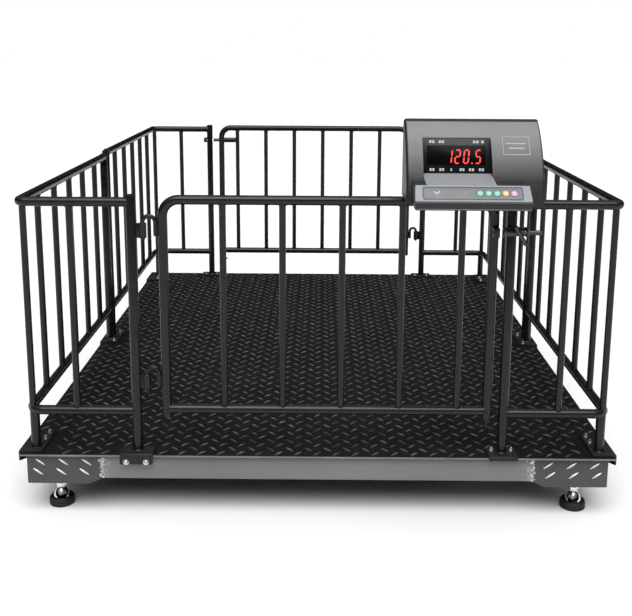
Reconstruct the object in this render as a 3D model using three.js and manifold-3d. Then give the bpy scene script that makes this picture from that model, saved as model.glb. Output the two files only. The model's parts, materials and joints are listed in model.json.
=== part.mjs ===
// Livestock floor scale: a tread-plate weighing deck on four load cells, a tube pen with a swinging
// gate at each end, slide bolts, and an electronic indicator clamped to the front latch post.
// Millimetres, +X right, +Y to the back, +Z up. The origin is the middle of the box's base.
import * as THREE from 'three';
import { mergeVertices } from 'three/addons/utils/BufferGeometryUtils.js';
import Module from 'manifold-3d';

const wasm = await Module();
wasm.setup();

// ---------------------------------------------------------------- driving dimensions
const GAP = 0.3;

const DECK_WIDTH = 1200;
const DECK_LENGTH = 1500;
const DECK_THICKNESS = 5;
const DECK_TOP = 132;
const DECK_UNDER = DECK_TOP - DECK_THICKNESS;
const SIDE_OVERHANG = 12;
const END_OVERHANG = 8;

const BEAM_HEIGHT = 50;
const BEAM_DEPTH = 30;
const BEAM_WALL = 3.5;
const BEAM_SETBACK = 1;
const CROSS_BEAM_WIDTH = 44;
const CROSS_BEAM_Y = 240;

const BOX_LENGTH = 150;
const BOX_WIDTH = 75;
const BOX_HEIGHT = 61;
const BOX_WALL = 4;
const BOX_CHAMFER = 24;

const CELL_LENGTH = 126;
const CELL_SIZE = 31;
const CELL_CLEARANCE = 4;
const CELL_SETBACK = 48;
const CELL_WAIST_LENGTH = 24;
const CELL_WAIST_DEPTH = 7;
const CELL_RIM = 6;
const CELL_HOLE_RADIUS = 7;

const FOOT_INSET = 54;
const PAD_RADIUS = 26;
const PAD_HEIGHT = 17;
const PAD_RECESS = 4.7;
const DOME_RADIUS = 18.5;
const DOME_TOP = 38;
const STUD_RADIUS = 6.5;
const STUD_TOP = 114;
const NUT_HEIGHT = 9;
const NUT_RADIUS = 11;

const JUNCTION = { x0: 300, x1: 410, y0: -620, y1: -545, drop: 34, lid: 5, lip: 3 };

const FENCE_WIDTH = 1164;
const FENCE_LENGTH = 1452;
const TOP_RAIL = DECK_TOP + 513;
const BOTTOM_RAIL = DECK_TOP + 86;
const BACK_RISE = 8;
const GATE_RISE = 5;
const POST_RADIUS = 10;
const RAIL_RADIUS = 9.5;
const BAR_RADIUS = 6.75;
const TOP_BEND = 12;
const BOTTOM_BEND = 28;
const CORNER_BAR_INSET = 6;
const CORNER_LEG_INSET = 8;
const SIDE_SPACES = 12;
const END_POST_OFFSET = 14;
const POST_CAP = 6;

const FRONT_HINGE_POST = 364;
const FRONT_LATCH_POST = 374;
const BACK_HINGE_POST = 364;
const BACK_LATCH_POST = 384;
const END_BAR = 484;
const INDICATOR_POST_TOP = DECK_TOP + 640;

const HINGE_AXIS = 342;
const SLEEVE_OUTER = 7.5;
const SLEEVE_BORE = 4.8;
const SLEEVE_HEIGHT = 30;
const SLEEVE_BASES = { lower: DECK_TOP + 134, upper: DECK_TOP + 442 };
const PIN_RADIUS = 4.25;

const FRONT_GATE = {
  end: -1, hingeStile: 303, latchStile: 340, pitch: 116.4, bars: 5, rise: GATE_RISE,
};
const BACK_GATE = {
  end: 1, hingeStile: 307, latchStile: 343, pitch: 99.1, bars: 6, rise: BACK_RISE + GATE_RISE,
};
const GATE_BEND = 32;
const STILE_TAIL = 14;
const TOE_DROP = 33;
const TOE_RADIUS = 4.5;
const TOE_PLATE = { behind: 3, ahead: 15, half: 6, height: 5 };

const FOOT_LEAF = 4;
const END_LEAF_DEPTH = 37;
const SIDE_LEAF_DEPTH = 44;
const SIDE_LEAF_LENGTH = 100;
const LEAF_DROP = 18;
const LONG_LEAF = { length: 66, drop: LEAF_DROP };
const SHORT_LEAF = { length: 58, drop: 5 };

const FRONT_BOLT = { z: DECK_TOP + 462, forward: 23, radius: 5, tip: 352, tail: 426, stem: 382.5 };
const BACK_BOLT = { z: DECK_TOP + 484, radius: 5.5, tip: -371, tail: -297, stem: -300.5 };
const BOLT_CLEARANCE = 0.5;
const GUIDE = { x0: 354, x1: 402, ear: 4, half: 9 };
const KEEPER = { x0: 334, x1: 346 };
const KEEPER_RADIUS = 8.5;
const SLEEVE_SLOT = { x0: -331, x1: -297, half: 3.6 };

const CASE_CENTRE = 283;
const CASE_WIDTH = 250;
const CASE_WALL = 3;
const CASE_BASE = DECK_TOP + 531;
const CASE_TOP = DECK_TOP + 679;
const CASE_BACK = -17.9;
const CASE_FRONT = -114;
const HEAD_ROUNDING = 7;
const HEAD = [CASE_BACK - HEAD_ROUNDING, CASE_TOP];
const FRONT_PULL = [-92, DECK_TOP + 634];
const CHIN_TOP = DECK_TOP + 545;
const BRACKET = { x0: 324, x1: 408, z0: 14, z1: 104, clamps: [30, 88] };
const SHELF_CENTRE = 270;
const SHELF_WIDTH = 204;
const SHELF_FRONT = -176;
const SHELF_ROOT = -98;
const SHELF_REAR_TOP = [-150, DECK_TOP + 572];
const SHELF_FRONT_TOP = [-173, DECK_TOP + 547.5];
const AHEAD_OF_CASE = -190;
const DISPLAY_CENTRE = 251.5;
const DISPLAY_WIDTH = 125;
const DISPLAY_TOP = [-60.5, DECK_TOP + 647];
const DISPLAY_FOOT = [-84, DECK_TOP + 584];
const DISPLAY_HEIGHT = 65;
const LED_WIDTH = 105;
const LED_HEIGHT = 40;
const KEYPAD_CENTRE = 269.5;
const KEYPAD_WIDTH = 175;
const KEYPAD_DEPTH = 27;
const KEYPAD_RECESS = 1.2;
const BUTTON_RADIUS = 6.3;
const BUTTON_HOLE = 6.95;
const BUTTON_PITCH = 14.9;
const FIRST_BUTTON = 282;
const BUTTONS = ['zero', 'tare', 'total', 'print', 'power'];

const FRONT = -FENCE_LENGTH / 2;

// ---------------------------------------------------------------- materials
function material(hex, roughness, metalness) {
  return new THREE.MeshStandardMaterial({ color: hex, roughness, metalness });
}

const LOOKS = {
  tube: () => material(0x232325, 0.42, 0.3),
  deck: () => material(0x1c1d1f, 0.5, 0.2),
  beam: () => material(0x737477, 0.5, 0.3),
  box: () => material(0x55565a, 0.5, 0.3),
  chrome: () => material(0xdadcde, 0.15, 1),
  rubber: () => material(0x17181a, 0.85, 0),
  cell: () => material(0xb4b7ba, 0.35, 0.9),
  housing: () => material(0x77787b, 0.55, 0),
  window: () => material(0x101214, 0.15, 0),
  keypad: () => material(0x9a9da2, 0.5, 0),
  green: () => material(0x4fb795, 0.45, 0),
  orange: () => material(0xe0945a, 0.45, 0),
  violet: () => material(0xb58fb4, 0.45, 0),
  board: () => material(0x1f6b3c, 0.5, 0),
  battery: () => material(0x2b2d33, 0.6, 0),
  nylon: () => material(0x1b1b1d, 0.6, 0),
};

// ---------------------------------------------------------------- solids
function toSolid(geometry) {
  const source = geometry.clone();
  source.deleteAttribute('normal');
  source.deleteAttribute('uv');
  const merged = mergeVertices(source, 1e-4);
  const index = merged.index.array;
  const kept = [];
  for (let i = 0; i < index.length; i += 3) {
    const [a, b, c] = [index[i], index[i + 1], index[i + 2]];
    if (a !== b && b !== c && c !== a) kept.push(a, b, c);
  }
  return new wasm.Manifold(new wasm.Mesh({
    numProp: 3,
    vertProperties: new Float32Array(merged.attributes.position.array),
    triVerts: new Uint32Array(kept),
  }));
}

function toGeometry(solid) {
  const mesh = solid.getMesh();
  const geometry = new THREE.BufferGeometry();
  geometry.setAttribute('position', new THREE.BufferAttribute(mesh.vertProperties, 3));
  geometry.setIndex(new THREE.BufferAttribute(mesh.triVerts, 1));
  geometry.computeVertexNormals();
  return geometry;
}

function join(solids) {
  return solids.reduce((whole, next) => whole.add(next));
}

function cut(solid, tools) {
  return tools.reduce((rest, tool) => rest.subtract(tool), solid);
}

function block(x0, x1, y0, y1, z0, z1) {
  const box = new THREE.BoxGeometry(Math.abs(x1 - x0), Math.abs(y1 - y0), Math.abs(z1 - z0));
  box.translate((x0 + x1) / 2, (y0 + y1) / 2, (z0 + z1) / 2);
  return toSolid(box);
}

// A straight round rod from one point to another.
function rod(from, to, radius, sides = 12) {
  const start = new THREE.Vector3(...from);
  const run = new THREE.Vector3(...to).sub(start);
  const geometry = new THREE.CylinderGeometry(radius, radius, run.length(), sides);
  geometry.translate(0, run.length() / 2, 0);
  const turn = new THREE.Quaternion().setFromUnitVectors(new THREE.Vector3(0, 1, 0), run.normalize());
  geometry.applyQuaternion(turn);
  geometry.translate(start.x, start.y, start.z);
  return toSolid(geometry);
}

function upright(x, y, z0, z1, radius, sides = 12) {
  return rod([x, y, z0], [x, y, z1], radius, sides);
}

// A curve through listed points whose rings fall exactly on those points.
class PointRoute extends THREE.Curve {
  constructor(points) {
    super();
    this.points = points;
  }

  getPoint(t) {
    const place = t * (this.points.length - 1);
    const i = Math.min(Math.floor(place), this.points.length - 2);
    return this.points[i].clone().lerp(this.points[i + 1], place - i);
  }

  getPointAt(u) {
    return this.getPoint(u);
  }

  getTangentAt(u) {
    const i = Math.round(u * (this.points.length - 1));
    const before = this.points[Math.max(i - 1, 0)];
    const here = this.points[i];
    const after = this.points[Math.min(i + 1, this.points.length - 1)];
    const arriving = here.clone().sub(before).normalize();
    const leaving = after.clone().sub(here).normalize();
    return arriving.add(leaving).normalize();
  }
}

// Corner points joined by straight runs, with a round bend at every inner corner.
function roundedRoute(corners, bend, steps = 5) {
  const points = corners.map((corner) => new THREE.Vector3(...corner));
  const route = [points[0]];
  for (let i = 1; i < points.length - 1; i += 1) {
    const corner = points[i];
    const back = points[i - 1].clone().sub(corner).normalize();
    const ahead = points[i + 1].clone().sub(corner).normalize();
    const centre = corner.clone().addScaledVector(back, bend).addScaledVector(ahead, bend);
    for (let k = 0; k <= steps; k += 1) {
      const angle = (k / steps) * (Math.PI / 2);
      const point = centre.clone();
      point.addScaledVector(ahead, -bend * Math.cos(angle));
      point.addScaledVector(back, -bend * Math.sin(angle));
      route.push(point);
    }
  }
  route.push(points[points.length - 1]);
  return route;
}

function roundSection(radius, sides) {
  const section = new THREE.Shape();
  for (let i = 0; i < sides; i += 1) {
    const angle = (2 * Math.PI * i) / sides;
    const place = [radius * Math.cos(angle), radius * Math.sin(angle)];
    if (i === 0) section.moveTo(...place);
    else section.lineTo(...place);
  }
  section.closePath();
  return section;
}

function bentTube(route, radius, sides = 12) {
  const settings = { steps: route.length - 1, extrudePath: new PointRoute(route), bevelEnabled: false };
  return toSolid(new THREE.ExtrudeGeometry(roundSection(radius, sides), settings));
}

// An outline of [y, z] points, extruded along X.
function sideProfile(shape, x0, x1) {
  const geometry = new THREE.ExtrudeGeometry(shape, { depth: x1 - x0, bevelEnabled: false, curveSegments: 7 });
  const axes = new THREE.Matrix4().makeBasis(
    new THREE.Vector3(0, 1, 0),
    new THREE.Vector3(0, 0, 1),
    new THREE.Vector3(1, 0, 0),
  );
  geometry.applyMatrix4(axes);
  geometry.translate(x0, 0, 0);
  return toSolid(geometry);
}

function polygon(points) {
  return new THREE.Shape(points.map(([a, b]) => new THREE.Vector2(a, b)));
}

// An outline of [radius, height] points turned about the vertical axis.
function turned(outline, sides) {
  const lathe = new THREE.LatheGeometry(outline.map(([r, h]) => new THREE.Vector2(r, h)), sides);
  lathe.rotateX(Math.PI / 2);
  return toSolid(lathe);
}

// ---------------------------------------------------------------- assembly
const scale = new THREE.Group();

function place(name, solid, look, parent = scale, position = [0, 0, 0]) {
  const mesh = new THREE.Mesh(toGeometry(solid), LOOKS[look]());
  mesh.name = name;
  mesh.position.set(...position);
  parent.add(mesh);
}

const CORNERS = [
  { name: 'front_left', side: -1, end: -1 },
  { name: 'front_right', side: 1, end: -1 },
  { name: 'back_left', side: -1, end: 1 },
  { name: 'back_right', side: 1, end: 1 },
];

const BOX_OUTER_X = DECK_WIDTH / 2 - SIDE_OVERHANG;
const BOX_OUTER_Y = DECK_LENGTH / 2 - END_OVERHANG;
const BOX_INNER_X = BOX_OUTER_X - BOX_LENGTH;
const BOX_INNER_Y = BOX_OUTER_Y - BOX_WIDTH;
const BOX_TOP = DECK_UNDER - GAP;
const BOX_BASE = DECK_UNDER - BOX_HEIGHT;
const BEAM_BASE = DECK_UNDER - BEAM_HEIGHT;
const CELL_Y = BOX_OUTER_Y - CELL_SETBACK;
const FOOT_X = BOX_OUTER_X - FOOT_INSET;

// A thin-walled channel, open towards its hollow side, as an [across, up] outline.
function channelOutline(depth) {
  return polygon([
    [0, BEAM_BASE],
    [depth, BEAM_BASE],
    [depth, BEAM_BASE + BEAM_WALL],
    [BEAM_WALL, BEAM_BASE + BEAM_WALL],
    [BEAM_WALL, BOX_TOP - BEAM_WALL],
    [depth, BOX_TOP - BEAM_WALL],
    [depth, BOX_TOP],
    [0, BOX_TOP],
  ]);
}

function channelAlongX(length, depth) {
  return sideProfile(channelOutline(depth), -length / 2, length / 2);
}

function buildDeck() {
  const plate = block(
    -DECK_WIDTH / 2, DECK_WIDTH / 2, -DECK_LENGTH / 2, DECK_LENGTH / 2, DECK_UNDER, DECK_TOP,
  );
  place('deck_plate', plate, 'deck');
}

function buildBeams() {
  const endLength = 2 * (BOX_INNER_X - GAP);
  const sideLength = 2 * (BOX_INNER_Y - GAP);
  const endChannel = channelAlongX(endLength, BEAM_DEPTH).translate([0, -BOX_OUTER_Y + BEAM_SETBACK, 0]);
  const sideChannel = channelAlongX(sideLength, BEAM_DEPTH).translate([0, -BOX_OUTER_X + BEAM_SETBACK, 0]);
  place('front_beam', endChannel, 'beam');
  place('back_beam', endChannel.rotate([0, 0, 180]), 'beam');
  place('left_beam', sideChannel.rotate([0, 0, -90]), 'beam');
  place('right_beam', sideChannel.rotate([0, 0, 90]), 'beam');

  const crossLength = 2 * (BOX_OUTER_X - BEAM_SETBACK - BEAM_DEPTH - GAP);
  const cross = channelAlongX(crossLength, CROSS_BEAM_WIDTH);
  place('front_cross_beam', cross.translate([0, -CROSS_BEAM_Y - CROSS_BEAM_WIDTH, 0]), 'beam');
  place('back_cross_beam', cross.translate([0, CROSS_BEAM_Y, 0]), 'beam');
}

// The hollow corner box over a load cell, open below, with its inner lower corner cut off.
function cornerBox() {
  const stepUp = BEAM_BASE - BOX_BASE;
  const outline = (inset, floor) => polygon([
    [-BOX_OUTER_X + inset, floor],
    [-BOX_INNER_X - BOX_CHAMFER - inset / 2, floor],
    [-BOX_INNER_X - inset, BOX_BASE + stepUp + inset / 2],
    [-BOX_INNER_X - inset, BOX_TOP - inset],
    [-BOX_OUTER_X + inset, BOX_TOP - inset],
  ]);
  const along = (shape, y0, y1) => {
    const geometry = new THREE.ExtrudeGeometry(shape, { depth: y1 - y0, bevelEnabled: false });
    geometry.rotateX(Math.PI / 2);
    geometry.translate(0, y1, 0);
    return toSolid(geometry);
  };
  const shell = along(outline(0, BOX_BASE), -BOX_OUTER_Y, -BOX_INNER_Y);
  const hollow = along(outline(BOX_WALL, BOX_BASE - 1), -BOX_OUTER_Y + BOX_WALL, -BOX_INNER_Y - BOX_WALL);
  return cut(shell, [hollow]);
}

// A shear-beam load cell: a square bar, waisted at mid-length, bored for the foot's stud.
function loadCell() {
  const outer = BOX_OUTER_X - BOX_WALL - CELL_CLEARANCE;
  const inner = outer - CELL_LENGTH;
  const top = BOX_TOP - BOX_WALL - GAP;
  const half = CELL_SIZE / 2;
  const bar = block(-outer, -inner, -CELL_Y - half, -CELL_Y + half, top - CELL_SIZE, top);
  const waistEnd = inner + CELL_LENGTH / 2;
  const waistStart = waistEnd - CELL_WAIST_LENGTH;
  const waists = [-1, 1].map((face) => {
    const y = -CELL_Y + face * half;
    return block(
      -waistEnd, -waistStart, y - CELL_WAIST_DEPTH, y + CELL_WAIST_DEPTH,
      top - CELL_SIZE + CELL_RIM, top - CELL_RIM,
    );
  });
  const bore = upright(-FOOT_X, -CELL_Y, top - CELL_SIZE - 1, top - 3, CELL_HOLE_RADIUS, 20);
  return cut(bar, [...waists, bore]);
}

function mirrored(solid, corner) {
  const flipX = corner.side > 0 ? solid.mirror([1, 0, 0]) : solid;
  return corner.end > 0 ? flipX.mirror([0, 1, 0]) : flipX;
}

function footPad() {
  return turned([
    [0, 0], [PAD_RADIUS - 1.5, 0], [PAD_RADIUS, 1.5], [PAD_RADIUS, PAD_HEIGHT - 4],
    [PAD_RADIUS - 2.5, PAD_HEIGHT], [DOME_RADIUS + 0.7, PAD_HEIGHT],
    [DOME_RADIUS + 0.7, PAD_HEIGHT - PAD_RECESS], [0, PAD_HEIGHT - PAD_RECESS],
  ], 16);
}

function footStud() {
  const seat = PAD_HEIGHT - PAD_RECESS + GAP;
  const dome = turned([
    [0, seat], [DOME_RADIUS, seat], [DOME_RADIUS, seat + 5], [DOME_RADIUS - 1.5, seat + 10],
    [DOME_RADIUS - 5, seat + 16], [DOME_RADIUS - 9, seat + 21], [8, DOME_TOP],
    [STUD_RADIUS, DOME_TOP], [STUD_RADIUS, STUD_TOP], [0, STUD_TOP],
  ], 16);
  const nut = upright(0, 0, DOME_TOP, DOME_TOP + NUT_HEIGHT, NUT_RADIUS, 6);
  return join([dome, nut]);
}

function buildCorners() {
  const box = cornerBox();
  const cell = loadCell();
  const pad = footPad();
  const stud = footStud();
  for (const corner of CORNERS) {
    place(`corner_box_${corner.name}`, mirrored(box, corner), 'box');
    place(`load_cell_${corner.name}`, mirrored(cell, corner), 'cell');
    const spot = [corner.side * FOOT_X, corner.end * CELL_Y, 0];
    place(`foot_pad_${corner.name}`, pad, 'rubber', scale, spot);
    place(`foot_stud_${corner.name}`, stud, 'chrome', scale, spot);
  }
}

function gland(length, radius) {
  return turned([
    [0, 0], [radius + 2, 0], [radius + 2, 5], [radius, 6], [radius, length - 5],
    [radius - 2, length], [0, length],
  ], 12);
}

function buildJunctionBox() {
  const { x0, x1, y0, y1, drop, lid: thickness, lip } = JUNCTION;
  const floor = DECK_UNDER - drop;
  const base = block(x0, x1, y0, y1, floor, DECK_UNDER - GAP);
  const lid = block(x0 - lip, x1 + lip, y0 - lip, y1 + lip, floor + 1 - thickness, floor + 1);
  place('junction_box', join([base, lid]), 'housing');
  const fitting = gland(22, 7).rotate([0, 90, 0]);
  place('junction_box_gland', fitting, 'nylon', scale, [x1 + GAP, (y0 + y1) / 2, DECK_UNDER - drop / 2]);
}

// ---------------------------------------------------------------- pen
// A foot bracket hooked over the deck's end edge, centred on x.
function endBracket(x, end, { length, drop }) {
  const edge = DECK_LENGTH / 2;
  const half = length / 2;
  const top = DECK_TOP + GAP + FOOT_LEAF;
  const outer = edge + GAP + FOOT_LEAF;
  const inner = edge - END_LEAF_DEPTH;
  const tread = block(x - half, x + half, end * outer, end * inner, DECK_TOP + GAP, top);
  const lip = block(x - half, x + half, end * outer, end * (edge + GAP), DECK_TOP - drop, top);
  return join([tread, lip]);
}

// A foot bracket hooked over the deck's side edge, from y0 to y1.
function sideBracket(side, y0, y1) {
  const edge = DECK_WIDTH / 2;
  const top = DECK_TOP + GAP + FOOT_LEAF;
  const outer = edge + GAP + FOOT_LEAF;
  const tread = block(side * outer, side * (edge - SIDE_LEAF_DEPTH), y0, y1, DECK_TOP + GAP, top);
  const lip = block(side * outer, side * (edge + GAP), y0, y1, DECK_TOP - LEAF_DROP, top);
  return join([tread, lip]);
}

// One L-shaped fixed panel: an end run from its gateway post, a bend, and half of one side.
function cornerPanel({ side, end }, gatePost, postTop, rise, endLeaf) {
  const x = (side * FENCE_WIDTH) / 2;
  const y = (end * FENCE_LENGTH) / 2;
  const topZ = TOP_RAIL + rise;
  const foot = DECK_TOP + GAP + 1;
  const endPostY = end * END_POST_OFFSET;
  const sidePitch = FENCE_LENGTH / SIDE_SPACES;
  const rail = (z, bend) => {
    const corners = [[side * gatePost, y, z], [x, y, z], [x, endPostY, z]];
    return bentTube(roundedRoute(corners, bend), RAIL_RADIUS, 12);
  };
  const pieces = [rail(topZ, TOP_BEND), rail(BOTTOM_RAIL, BOTTOM_BEND)];
  pieces.push(upright(side * gatePost, y, foot, postTop, POST_RADIUS));
  pieces.push(upright(x, endPostY, foot, topZ + POST_CAP, POST_RADIUS));
  const cornerUpright = (inset, z0, z1, radius) => (
    upright(x - side * inset, y - end * inset, z0, z1, radius)
  );
  pieces.push(cornerUpright(CORNER_LEG_INSET, foot, BOTTOM_RAIL, RAIL_RADIUS));
  pieces.push(cornerUpright(CORNER_BAR_INSET, BOTTOM_RAIL, topZ, BAR_RADIUS));
  pieces.push(upright(side * END_BAR, y, BOTTOM_RAIL, topZ, BAR_RADIUS, 8));
  for (let k = 1; k < SIDE_SPACES / 2; k += 1) {
    pieces.push(upright(x, y - end * k * sidePitch, BOTTOM_RAIL, topZ, BAR_RADIUS, 8));
  }
  pieces.push(endBracket(side * gatePost, end, endLeaf));
  pieces.push(sideBracket(side, y + end * 14, y - end * (SIDE_LEAF_LENGTH - 14)));
  pieces.push(sideBracket(side, endPostY - end * 11, endPostY + end * 31));
  return join(pieces);
}

function buildPanels() {
  const [frontLeft, frontRight, backLeft, backRight] = CORNERS;
  const frontTop = TOP_RAIL + 15;
  const backTop = TOP_RAIL + BACK_RISE + 15;
  const frontLeftPanel = cornerPanel(frontLeft, FRONT_HINGE_POST, frontTop, 0, LONG_LEAF);
  const frontRightPanel = cornerPanel(frontRight, FRONT_LATCH_POST, INDICATOR_POST_TOP, 0, SHORT_LEAF);
  const backRightPanel = cornerPanel(backRight, BACK_HINGE_POST, backTop, BACK_RISE, LONG_LEAF);
  const solidBackLeft = cornerPanel(backLeft, BACK_LATCH_POST, backTop, BACK_RISE, LONG_LEAF);
  const keeperHole = rod(
    [-BACK_LATCH_POST - 20, -FRONT, BACK_BOLT.z], [-BACK_LATCH_POST + 20, -FRONT, BACK_BOLT.z],
    BACK_BOLT.radius + 2 * BOLT_CLEARANCE, 16,
  );
  place('fence_front_left', frontLeftPanel, 'tube');
  place('fence_front_right', frontRightPanel, 'tube');
  place('fence_back_left', cut(solidBackLeft, [keeperHole]), 'tube');
  place('fence_back_right', backRightPanel, 'tube');
}

// A gate frame: two stiles and a top rail in one bent tube, a bottom rail, bars and a latch-side toe.
function gateFrame({ end, hingeStile, latchStile, pitch, bars, rise }) {
  const y = end * -FRONT;
  const hingeX = end * hingeStile;
  const latchX = -end * latchStile;
  const topZ = TOP_RAIL + rise;
  const bottomZ = BOTTOM_RAIL + GATE_RISE;
  const tail = bottomZ - STILE_TAIL;
  const corners = [[hingeX, y, tail], [hingeX, y, topZ], [latchX, y, topZ], [latchX, y, tail]];
  const pieces = [bentTube(roundedRoute(corners, GATE_BEND), RAIL_RADIUS, 12)];
  pieces.push(rod([hingeX, y, bottomZ], [latchX, y, bottomZ], RAIL_RADIUS, 12));
  for (let k = 1; k <= bars; k += 1) {
    pieces.push(upright(hingeX - end * k * pitch, y, bottomZ, topZ, BAR_RADIUS, 8));
  }
  pieces.push(upright(latchX, y, bottomZ - TOE_DROP, bottomZ, TOE_RADIUS, 8));
  const toeBase = bottomZ - TOE_DROP;
  const { behind, ahead, half, height } = TOE_PLATE;
  pieces.push(block(
    latchX - behind, latchX + end * ahead, y - half, y + half, toeBase, toeBase + height,
  ));
  return join(pieces);
}

// A hinge sleeve with the short web that carries it on its post.
function hingeSleeve(end, base) {
  const y = end * -FRONT;
  const x = end * HINGE_AXIS;
  const postFace = end * ((end < 0 ? FRONT_HINGE_POST : BACK_HINGE_POST) - POST_RADIUS - GAP);
  const barrel = upright(x, y, base, base + SLEEVE_HEIGHT, SLEEVE_OUTER, 16);
  const web = block(x, postFace, y - 3, y + 3, base, base + SLEEVE_HEIGHT);
  const bore = upright(x, y, base - 1, base + SLEEVE_HEIGHT + 1, SLEEVE_BORE, 16);
  return cut(join([barrel, web]), [bore]);
}

// A gooseneck pin: up out of its sleeve, over, and down along the gate's stile.
function hingePin(end, stile, base) {
  const y = end * -FRONT;
  const axisX = end * HINGE_AXIS;
  const legX = end * (stile + RAIL_RADIUS + PIN_RADIUS + 0.35);
  const reach = Math.abs(axisX - legX) / 2;
  const crown = base + SLEEVE_HEIGHT + 1 + reach;
  const corners = [[axisX, y, base - 4], [axisX, y, crown], [legX, y, crown], [legX, y, base + 4]];
  return bentTube(roundedRoute(corners, reach - 0.01, 4), PIN_RADIUS, 10);
}

function buildGates() {
  const stileHole = rod(
    [-BACK_GATE.latchStile - 15, -FRONT, BACK_BOLT.z], [-BACK_GATE.latchStile + 15, -FRONT, BACK_BOLT.z],
    BACK_BOLT.radius + BOLT_CLEARANCE, 16,
  );
  place('front_gate', gateFrame(FRONT_GATE), 'tube');
  place('back_gate', cut(gateFrame(BACK_GATE), [stileHole]), 'tube');
  for (const [gateName, gate] of [['front', FRONT_GATE], ['back', BACK_GATE]]) {
    for (const [level, base] of Object.entries(SLEEVE_BASES)) {
      place(`${gateName}_hinge_sleeve_${level}`, hingeSleeve(gate.end, base), 'tube');
      place(`${gateName}_hinge_pin_${level}`, hingePin(gate.end, gate.hingeStile, base), 'tube');
    }
  }
}

// ---------------------------------------------------------------- latches
function buildFrontLatch() {
  const { z, forward, radius, tip, tail, stem } = FRONT_BOLT;
  const y = FRONT - forward;
  const hole = radius + BOLT_CLEARANCE;
  const bore = rod([tip - 40, y, z], [tail, y, z], hole, 16);
  const strapBack = FRONT - POST_RADIUS - GAP;
  const { x0, x1, ear, half } = GUIDE;
  const strap = block(x0, x1, strapBack - FOOT_LEAF, strapBack, z - half, z + half);
  const ears = [x0, x1 - ear].map((x) => block(x, x + ear, y - 8, strapBack, z - half, z + half));
  place('front_bolt_guide', cut(join([strap, ...ears]), [bore]), 'tube');

  const stileFace = FRONT - RAIL_RADIUS - GAP;
  const keeper = block(KEEPER.x0, KEEPER.x1, y - 8, stileFace, z - half, z + half);
  place('front_bolt_keeper', cut(keeper, [bore]), 'tube');

  const handleY = y - 14;
  place('front_bolt', join([
    rod([tip, y, z], [tail, y, z], radius, 12),
    rod([stem, y, z], [stem, handleY, z], 3.5, 10),
    rod([stem - 9, handleY, z + 15], [stem + 13, handleY, z - 22], 4, 10),
  ]), 'tube');
}

function buildBackLatch() {
  const { z, radius, tip, tail, stem } = BACK_BOLT;
  const y = -FRONT;
  const stileFace = -BACK_GATE.latchStile + RAIL_RADIUS + GAP;
  const firstBar = BACK_GATE.hingeStile - BACK_GATE.pitch * BACK_GATE.bars;
  const barFace = firstBar - BAR_RADIUS - GAP;
  const bore = rod([-BACK_LATCH_POST - 40, y, z], [barFace + 1, y, z], radius + BOLT_CLEARANCE, 16);
  const slot = block(
    SLEEVE_SLOT.x0, SLEEVE_SLOT.x1, y, y + 12, z - SLEEVE_SLOT.half, z + SLEEVE_SLOT.half,
  );
  const sleeve = rod([stileFace, y, z], [barFace, y, z], KEEPER_RADIUS, 16);
  place('back_bolt_sleeve', cut(sleeve, [bore, slot]), 'tube');

  const postFace = -BACK_LATCH_POST - POST_RADIUS - GAP;
  const keeper = rod([postFace - 10, y, z], [postFace, y, z], KEEPER_RADIUS, 16);
  place('back_bolt_keeper', cut(keeper, [bore]), 'tube');

  place('back_bolt', join([
    rod([tip, y, z], [tail, y, z], radius, 12),
    rod([stem, y, z], [stem, y + 20, z], 3, 10),
    rod([stem, y + 20, z], [stem, y + 27, z], 6, 12),
  ]), 'tube');
}

// ---------------------------------------------------------------- indicator
// A frame on a sloping panel: x across, the second axis up the slope, the third out of it.
function slopeFrame(centreX, low, high) {
  const up = new THREE.Vector3(0, high[0] - low[0], high[1] - low[1]).normalize();
  const across = new THREE.Vector3(1, 0, 0);
  const out = new THREE.Vector3().crossVectors(across, up);
  const frame = new THREE.Matrix4().makeBasis(across, up, out);
  frame.setPosition(centreX, FRONT + (low[0] + high[0]) / 2, (low[1] + high[1]) / 2);
  return frame;
}

const DISPLAY_FRAME = slopeFrame(DISPLAY_CENTRE, DISPLAY_FOOT, DISPLAY_TOP);
const KEYPAD_FRAME = slopeFrame(KEYPAD_CENTRE, SHELF_FRONT_TOP, SHELF_REAR_TOP);

function slab(frame, width, height, n0, n1, x = 0, u = 0) {
  const box = new THREE.BoxGeometry(width, height, n1 - n0);
  box.translate(x, u, (n0 + n1) / 2);
  box.applyMatrix4(frame);
  return toSolid(box);
}

function disc(frame, x, radius, n0, n1, sides = 16) {
  const cylinder = new THREE.CylinderGeometry(radius, radius, n1 - n0, sides);
  cylinder.rotateX(Math.PI / 2);
  cylinder.translate(x, 0, (n0 + n1) / 2);
  cylinder.applyMatrix4(frame);
  return toSolid(cylinder);
}

function shiftToFront(points) {
  return points.map(([y, z]) => [FRONT + y, z]);
}

function bodyOutline(inset, back) {
  const y = (value) => FRONT + value;
  const outline = new THREE.Shape();
  outline.moveTo(y(back), CASE_BASE + inset);
  outline.lineTo(y(back), CASE_TOP - HEAD_ROUNDING - inset);
  outline.quadraticCurveTo(y(back), CASE_TOP - inset, y(HEAD[0]), HEAD[1] - inset);
  outline.quadraticCurveTo(
    y(FRONT_PULL[0] + inset), FRONT_PULL[1] - inset, y(CASE_FRONT + inset), CHIN_TOP,
  );
  outline.lineTo(y(CASE_FRONT + inset), CASE_BASE + inset);
  outline.closePath();
  return outline;
}

function shelfOutline(inset) {
  return polygon(shiftToFront([
    [SHELF_ROOT, CASE_BASE + inset],
    [SHELF_ROOT, SHELF_REAR_TOP[1] + 1 - inset],
    [SHELF_REAR_TOP[0], SHELF_REAR_TOP[1] - inset],
    [SHELF_FRONT_TOP[0], SHELF_FRONT_TOP[1] - inset],
    [SHELF_FRONT + inset, SHELF_FRONT_TOP[1] - 3 - inset],
    [SHELF_FRONT + inset, CASE_BASE + inset],
  ]));
}

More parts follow.
